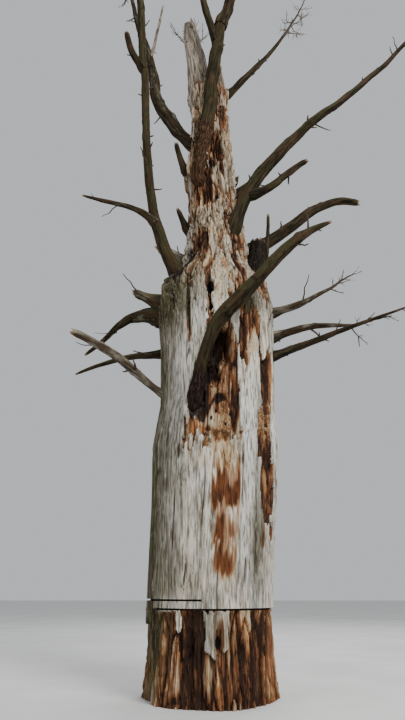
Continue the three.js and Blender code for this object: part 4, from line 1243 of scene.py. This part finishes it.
def finer(parent, random, box, spacing, share, thin):
    """Side shoots along one twig, each leaning away from it and lifted a little, within the mass's box."""
    low, high = box
    points = [p for p, _ in parent]
    total = sum((b - a).length for a, b in zip(points, points[1:]))
    count = max(1, round(total / spacing))
    shoots = []
    turn = random.uniform(0, 360)
    for i in range(count):
        t = 0.22 + 0.76 * (i + random.uniform(0, 0.8)) / count
        first, start, forward = on_path(points, t)
        turn += TWIG_TURN + random.uniform(-30, 30)
        length = total * share * random.uniform(0.55, 1.1) * (1.15 - 0.6 * t)
        radius = max(SHOOT_RADIUS, parent[first][1] * thin)
        path = twig_path(start, forward, random.uniform(30, 62), turn, length)
        if all(low[k] - MASS_MARGIN < path[2][k] < high[k] + MASS_MARGIN for k in range(3)):
            shoots.append(crooked(path, (radius, SHOOT_TIP), random, **SHOOT_LINE))
    return shoots


def spurs(centres, radius, distance, random):
    """Short dead stubs of side twigs along one limb."""
    shoots = []
    forward, across, other = ring_frames(centres)
    for number in range(int(distance[-1] / SPUR_SPACING)):
        i = int(random.uniform(0.18, 0.97) * (len(centres) - 1))
        turn = random.uniform(0, 2 * math.pi)
        side = Vector(math.cos(turn) * across[i] + math.sin(turn) * other[i])
        way = (side + Vector(forward[i]) * random.uniform(0.3, 1.2)).normalized()
        length = random.uniform(0.03, 0.16) * (1 if number % 3 else 1.9)
        start = Vector(centres[i]) + side * (radius[i] * 0.7)
        girth = min(0.014, radius[i] * 0.3)
        middle = start + way * (radius[i] * 0.3 + length / 2)
        tip = start + way * length + Vector((0, 0, length * 0.12))
        shoots.append(crooked([start, middle, tip], (girth, girth * 0.45), random, **STUB_LINE))
    return shoots


def joined_tubes(name, twigs):
    """Twigs as one mesh: a poly spline each, given its girth by the curve's round section."""
    curve = bpy.data.curves.new(name, "CURVE")
    curve.dimensions = "3D"
    curve.bevel_depth = TUBE_GIRTH
    curve.bevel_resolution = 0
    curve.use_fill_caps = True
    for twig in twigs:
        spline = curve.splines.new("POLY")
        spline.points.add(len(twig) - 1)
        spline.points.foreach_set("co", [v for p, _ in twig for v in (*p, 1.0)])
        spline.points.foreach_set("radius", [r / curve.bevel_depth for _, r in twig])
    source = bpy.data.objects.new(name + "_line", curve)
    bpy.context.scene.collection.objects.link(source)
    bpy.context.view_layer.update()
    mesh = bpy.data.meshes.new_from_object(source.evaluated_get(bpy.context.evaluated_depsgraph_get()))
    bpy.data.objects.remove(source)
    mesh.name = name
    mesh.shade_smooth()
    return place(name, mesh)


# Finishes
class Finish:
    """Builds one material's nodes; every method gives a socket to pass on."""

    def __init__(self, name, roughness):
        self.material = bpy.data.materials.new(name)
        self.material.use_nodes = True
        self.nodes = self.material.node_tree.nodes
        self.links = self.material.node_tree.links
        self.shader = self.nodes["Principled BSDF"]
        self.shader.inputs["Roughness"].default_value = roughness
        self.shader.inputs["Specular IOR Level"].default_value = DULLNESS
        self.guides = {}

    def add(self, kind, inputs=(), **settings):
        """A new node with its settings, and with each input set or linked."""
        node = self.nodes.new(kind)
        for key, value in settings.items():
            setattr(node, key, value)
        for key, value in dict(inputs).items():
            self.set(node.inputs[key], value)
        return node

    def set(self, socket, value):
        if isinstance(value, bpy.types.NodeSocket):
            self.links.new(value, socket)
        else:
            socket.default_value = value

    def mark(self, name, output="Fac"):
        return self.add("ShaderNodeAttribute", attribute_name=name).outputs[output]

    def object_place(self):
        return self.add("ShaderNodeTexCoord").outputs["Object"]

    def grain(self, where, scale, detail, shift=0.0):
        moved = self.add("ShaderNodeMapping", {
            "Vector": where, "Scale": scale, "Location": (shift, shift * 0.7, shift * 1.3)})
        texture = self.add("ShaderNodeTexNoise", {
            "Vector": moved.outputs["Vector"], "Scale": 1.0, "Detail": detail, "Roughness": 0.6})
        return texture.outputs["Fac"]

    def guide(self, name):
        """A grain by its name, or else the mesh's mark of that name."""
        if name not in self.guides:
            self.guides[name] = self.mark(name)
        return self.guides[name]

    def steps(self, guide, low, high, top=1.0):
        """0 where the guide is at low, rising smoothly to top where it is at high."""
        value = self.guide(guide) if isinstance(guide, str) else guide
        inputs = {"Value": value, "From Min": low, "From Max": high, "To Max": top}
        return self.add("ShaderNodeMapRange", inputs, interpolation_type="SMOOTHSTEP").outputs["Result"]

    def sum(self, operation, a, b):
        return self.add("ShaderNodeMath", {0: a, 1: b}, operation=operation).outputs[0]

    def stirred(self, value, guide, strength):
        """A value pushed up and down by a grain round its middle."""
        swing = self.sum("SUBTRACT", self.guide(guide), 0.5)
        return self.sum("ADD", value, self.sum("MULTIPLY", swing, strength))

    def blend(self, a, b, share):
        a, b = ((*tone, 1) if isinstance(tone, tuple) else tone for tone in (a, b))
        return self.add("ShaderNodeMix", {0: share, 6: a, 7: b}, data_type="RGBA").outputs[2]

    def coats(self, colour, coats):
        """Coats over a colour: the tone, the guide it follows, that guide's range and its strength."""
        for tone, guide, *steps in coats:
            colour = self.blend(colour, tone, self.steps(guide, *steps))
        return colour

    def bump(self, height, strength, distance, under=None):
        node = self.add("ShaderNodeBump", {"Strength": strength, "Distance": distance, "Height": height})
        if under is not None:
            self.set(node.inputs["Normal"], under)
        return node.outputs["Normal"]

    def bumps(self, rows):
        """One bump over another: the grain, the strength and the depth of each."""
        normal = None
        for guide, strength, distance in rows:
            normal = self.bump(self.guide(guide), strength, distance, normal)
        return normal

    def done(self, colour, normal=None):
        self.set(self.shader.inputs["Base Color"], colour)
        if normal is not None:
            self.set(self.shader.inputs["Normal"], normal)
        return self.material


def sound_tones(f):
    """Silver outer wood, whiter where it is bleached, and torn shreds higher up."""
    silver = f.coats((0.29, 0.275, 0.235), (
        ((0.69, 0.635, 0.515), "blotch", 0.42, 0.58),
        ((0.37, 0.365, 0.35), "tone", 0.60, 0.85, 0.50),
        ((0.40, 0.30, 0.18), "band", 0.54, 0.66, 0.50),
        ((0.76, 0.715, 0.61), "streak", 0.53, 0.64, 0.65),
        ((0.145, 0.115, 0.080), "streak", 0.47, 0.33, 0.85),
        ((0.165, 0.130, 0.090), "hatch", 0.52, 0.62, 0.88),
        ((0.82, 0.785, 0.69), "hatch", 0.46, 0.36, 0.70)))
    white = f.coats((0.82, 0.805, 0.75), (
        ((0.24, 0.220, 0.190), "hatch", 0.50, 0.61),
        ((0.35, 0.345, 0.335), "streak", 0.51, 0.62, 0.75)))
    silver = f.blend(silver, white, f.sum("MULTIPLY", f.guide("bleached"), 0.75))
    shreds = f.coats((0.48, 0.420, 0.315), (
        ((0.29, 0.215, 0.130), "tone", 0.35, 0.75),
        ((0.37, 0.350, 0.315), "band", 0.52, 0.62, 0.85),
        ((0.25, 0.145, 0.075), "streak", 0.54, 0.68, 0.70),
        ((0.62, 0.560, 0.435), "hatch", 0.45, 0.34, 0.65),
        ((0.115, 0.066, 0.038), "hatch", 0.53, 0.66, 0.88),
        ((0.090, 0.056, 0.036), "thin", 0.53, 0.62, 0.70),
        ((0.62, 0.56, 0.46), "thin", 0.46, 0.38, 0.45),
        ((0.07, 0.038, 0.022), "gap", 0.45, 1.0, 0.85)))
    return f.blend(silver, shreds, f.guide("stringy"))


def rotten_tones(f):
    """Rotten wood from cream through ochre to black with its depth, which is partly painted shade, and the
    crumbs it goes to.
    """
    depth = f.stirred(f.stirred(f.guide("low"), "streak", 0.8), "hatch", 0.9)
    ochre = f.coats((0.37, 0.235, 0.12), (
        ((0.40, 0.175, 0.065), "tone", 0.35, 0.75),
        ((0.42, 0.33, 0.225), "band", 0.50, 0.40, 0.8)))
    ochre = f.blend(ochre, (0.27, 0.185, 0.115), f.sum("MULTIPLY", f.guide("stringy"), 0.6))
    cream = f.coats((0.54, 0.430, 0.275), (((0.40, 0.360, 0.300), "tone", 0.62, 0.30),))
    rotten = f.coats(cream, (
        (ochre, depth, 0.22, 0.40),
        ((0.175, 0.072, 0.032), depth, 0.42, 0.62),
        ((0.034, 0.018, 0.012), depth, 0.64, 0.92)))
    crumb = f.coats((0.13, 0.058, 0.023), (((0.44, 0.308, 0.165), "speck", 0.44, 0.56),))
    return f.blend(rotten, crumb, f.sum("MULTIPLY", f.guide("crumbly"), f.steps(depth, 0.74, 0.42, 0.90)))


def trunk_finish():
    f = Finish("weathered_trunk_wood", 0.9)
    where = f.object_place()
    f.guides = {name: f.grain(where, *grain) for name, grain in TRUNK_GRAINS.items()}
    edge = f.stirred(f.guide("sound"), "hatch", 0.8)
    colour = f.blend(rotten_tones(f), sound_tones(f), f.steps(edge, 0.36, 0.66))
    butter = f.coats((0.64, 0.51, 0.31), (((0.33, 0.190, 0.088), "hatch", 0.48, 0.61),))
    rust = f.coats((0.034, 0.011, 0.006), (((0.150, 0.050, 0.018), "hatch", 0.36, 0.60),))
    stained = f.stirred(f.stirred(f.guide("stain"), "streak", 0.9), "hatch", 0.5)
    colour = f.coats(colour, (
        (butter, f.stirred(f.guide("yellowed"), "streak", 1.2), 0.15, 1.0, 0.75),
        ((0.33, 0.165, 0.072), stained, 0.06, 0.42, 0.88),
        (rust, stained, 0.26, 0.70, 0.96)))
    # Moss green, also painted shade on the left flank and at the leader's foot.
    moss_and_shade_green = f.coats((0.036, 0.030, 0.017), (
        ((0.135, 0.118, 0.070), "hatch", 0.58, 0.40),
        ((0.066, 0.064, 0.024), "cloud", 0.50, 0.62, 0.7)))
    colour = f.blend(colour, moss_and_shade_green, f.sum("MULTIPLY", f.guide("moss"), f.steps("cloud", 0.12, 0.42)))
    # Black for charred wood and for painted shade in hollows, saw cuts, the top pit and at the leader's foot.
    black = f.coats((0.011, 0.008, 0.008), (((0.070, 0.040, 0.028), "hatch", 0.52, 0.66),))
    colour = f.coats(colour, (
        ((0.50, 0.45, 0.36), "scar", 0.3, 0.9, 0.4),
        # Dark brown painted shade in the cracks, the knot's ring and the strip joints.
        ((0.040, 0.024, 0.016), "crevice_shade", 0.15, 0.95, 0.88),
        (black, "char_and_shade", 0.20, 0.80, 0.96)))
    return f.done(colour, f.bumps(TRUNK_BUMPS))


def bough_finish(name, grey, moss, foot_tones=None):
    f = Finish(name, 0.85)
    lay = f.mark("lay", "Vector")
    f.guides = {key: f.grain(lay, *grain) for key, grain in BOUGH_GRAINS.items()}
    # A dark brown base, partly painted shade.
    brown_and_shade = f.coats((0.008, 0.006, 0.004), (((0.044, 0.034, 0.015), "streak", 0.38, 0.66),))
    pale = f.coats((0.11, 0.088, 0.066), (((0.38, 0.325, 0.26), "streak", 0.38, 0.62),))
    # Upper sides paler as painted light, with pale blotches of the wood's own.
    top = f.sum("ADD", f.steps("above", -0.1, 0.9, 0.36), f.steps("blotch", 0.42, 0.66, 0.40))
    damp = f.sum("ADD", f.guide("blotch"), f.steps("above", -0.6, 0.8, 0.3))
    splint = f.coats((0.14, 0.066, 0.032), (((0.50, 0.38, 0.25), "streak", 0.42, 0.58),))
    colour = f.coats(brown_and_shade, (
        (pale, f.sum("ADD", top, grey * 1.3 - 0.70), 0.0, 0.9),
        ((0.085, 0.045, 0.025), "blotch", 0.54, 0.38, 0.40),
        ((0.062, 0.060, 0.024), damp, 0.50, 0.85, moss),
        (splint, "bare", 0.3, 0.9, 0.85),
        # Near-black painted shade in the cracks and knot pits.
        ((0.009, 0.006, 0.005), "crevice_shade", 0.2, 0.9, 0.8)))
    # The foot's dark tones: char on the front bough, painted shade on the right stump.
    if foot_tones:
        foot = f.blend(*foot_tones, f.steps("fine", 0.48, 0.62))
        colour = f.blend(colour, foot, f.guide("burnt"))
    return f.done(colour, f.bumps(BOUGH_BUMPS))


def twig_finish(name, colour):
    """Joined twigs keep one plain base colour; only their bump is patterned."""
    f = Finish(name, 0.85)
    normal = f.bump(f.grain(f.object_place(), (140, 140, 60), 3), 0.3, 0.002)
    return f.done((*colour, 1), normal)


def floor_finish():
    f = Finish("pale_floor", 0.9)
    cloud = f.grain(f.object_place(), (0.7, 0.7, 0.7), 3)
    return f.done(f.blend((0.66, 0.655, 0.64), (0.74, 0.735, 0.72), f.steps(cloud, 0.3, 0.7)))


# Building
trunk_wood = trunk_finish()
for number in range(len(TRUNK_BANDS)):
    finish_piece(trunk_band(number), trunk_wood, "trunk_wood", "trunk")

paths = {}
dead_stubs = []
stub_random = np.random.default_rng(STUB_SEED)
bough_woods = {}
for order, (name, limb) in enumerate(LIMBS.items()):
    paths[name] = limb_path(limb, paths)
    grey = round(limb.get("grey", USUAL_GREYNESS), 1)
    moss = round(limb.get("moss", USUAL_MOSSINESS), 1)
    look = (grey, moss, limb.get("foot_tones"))
    if look not in bough_woods:
        bough_woods[look] = bough_finish(f"dead_bough_wood_{len(bough_woods) + 1}", *look)
    piece = limb_piece(name, paths[name], limb, LIMB_SEED + order * LIMB_SEED_STEP)
    finish_piece(piece, bough_woods[look], "bough_wood", name)
    centres, shares, distance = smooth_path(paths[name], SPUR_STEP)
    dead_stubs += spurs(centres, radius_at(shares, limb["radii"]), distance, stub_random)
silver_wood = bough_finish("silver_spire_wood", SPIRE_GREYNESS, 0.0)
for splinter in [spire_piece()] + rim_splinters():
    finish_piece(splinter, silver_wood, "trunk_wood", "trunk")

segments = limb_segments(paths)
twig_random = np.random.default_rng(TWIG_SEED)
stems, twigs, shoots = [], [], []
for mass, (on, stem, seed) in MASSES.items():
    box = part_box(mass)
    for number, (path, *radii) in enumerate(mass_twigs(on, stem, seed, paths, segments)):
        is_stem = number == 0
        line = crooked(path, radii, twig_random, **(STEM_LINE if is_stem else TWIG_LINE))
        (stems if is_stem else twigs).append(line)
        side = finer(line, twig_random, box, **SHOOTS)
        shoots += side
        for shoot in side:
            shoots += finer(shoot, twig_random, box, **FINEST_SHOOTS)
for name, lines, bark, tone, slot, nodes in (
        ("twig_stems", stems, "stem_bark", (0.060, 0.044, 0.032), "twigs", MASSES),
        ("dead_twigs", twigs, "twig_bark", (0.085, 0.066, 0.050), "twigs", MASSES),
        ("fine_shoots", shoots, "shoot_bark", (0.115, 0.092, 0.070), "twigs", MASSES),
        ("dead_stubs", dead_stubs, "stub_bark", (0.065, 0.048, 0.034), "bough_wood", ())):
    finish_piece(joined_tubes(name, lines), twig_finish(bark, tone), slot, *nodes)

# Floor, light and camera
floor_mesh = bpy.data.meshes.new("floor")
floor_grid = bmesh.new()
bmesh.ops.create_grid(floor_grid, x_segments=8, y_segments=8, size=FLOOR_REACH)
floor_grid.to_mesh(floor_mesh)
floor_grid.free()
floor = place("floor", floor_mesh)
floor.data.materials.append(floor_finish())

world = bpy.data.worlds.new("studio")
world.use_nodes = True
sky = world.node_tree.nodes["Background"]
sky.inputs["Color"].default_value = (*SKY_TONE, 1)
sky.inputs["Strength"].default_value = SKY_STRENGTH
bpy.context.scene.world = world

for name, where, size, power in LAMPS:
    lamp = bpy.data.lights.new(name, "AREA")
    lamp.size = size
    lamp.energy = power
    light = bpy.data.objects.new(name, lamp)
    light.location = where
    light.rotation_euler = (LAMP_TARGET - Vector(where)).to_track_quat("-Z", "Y").to_euler()
    bpy.context.scene.collection.objects.link(light)

lens = bpy.data.cameras.new("camera")
lens.lens = LENS
lens.sensor_fit = "VERTICAL"
lens.sensor_height = FILM_HEIGHT
lens.clip_end = FARTHEST
camera = bpy.data.objects.new("camera", lens)
camera.location = EYE
camera.rotation_euler = (math.radians(90 + EYE_TILT), 0, 0)
bpy.context.scene.collection.objects.link(camera)
bpy.context.scene.camera = camera
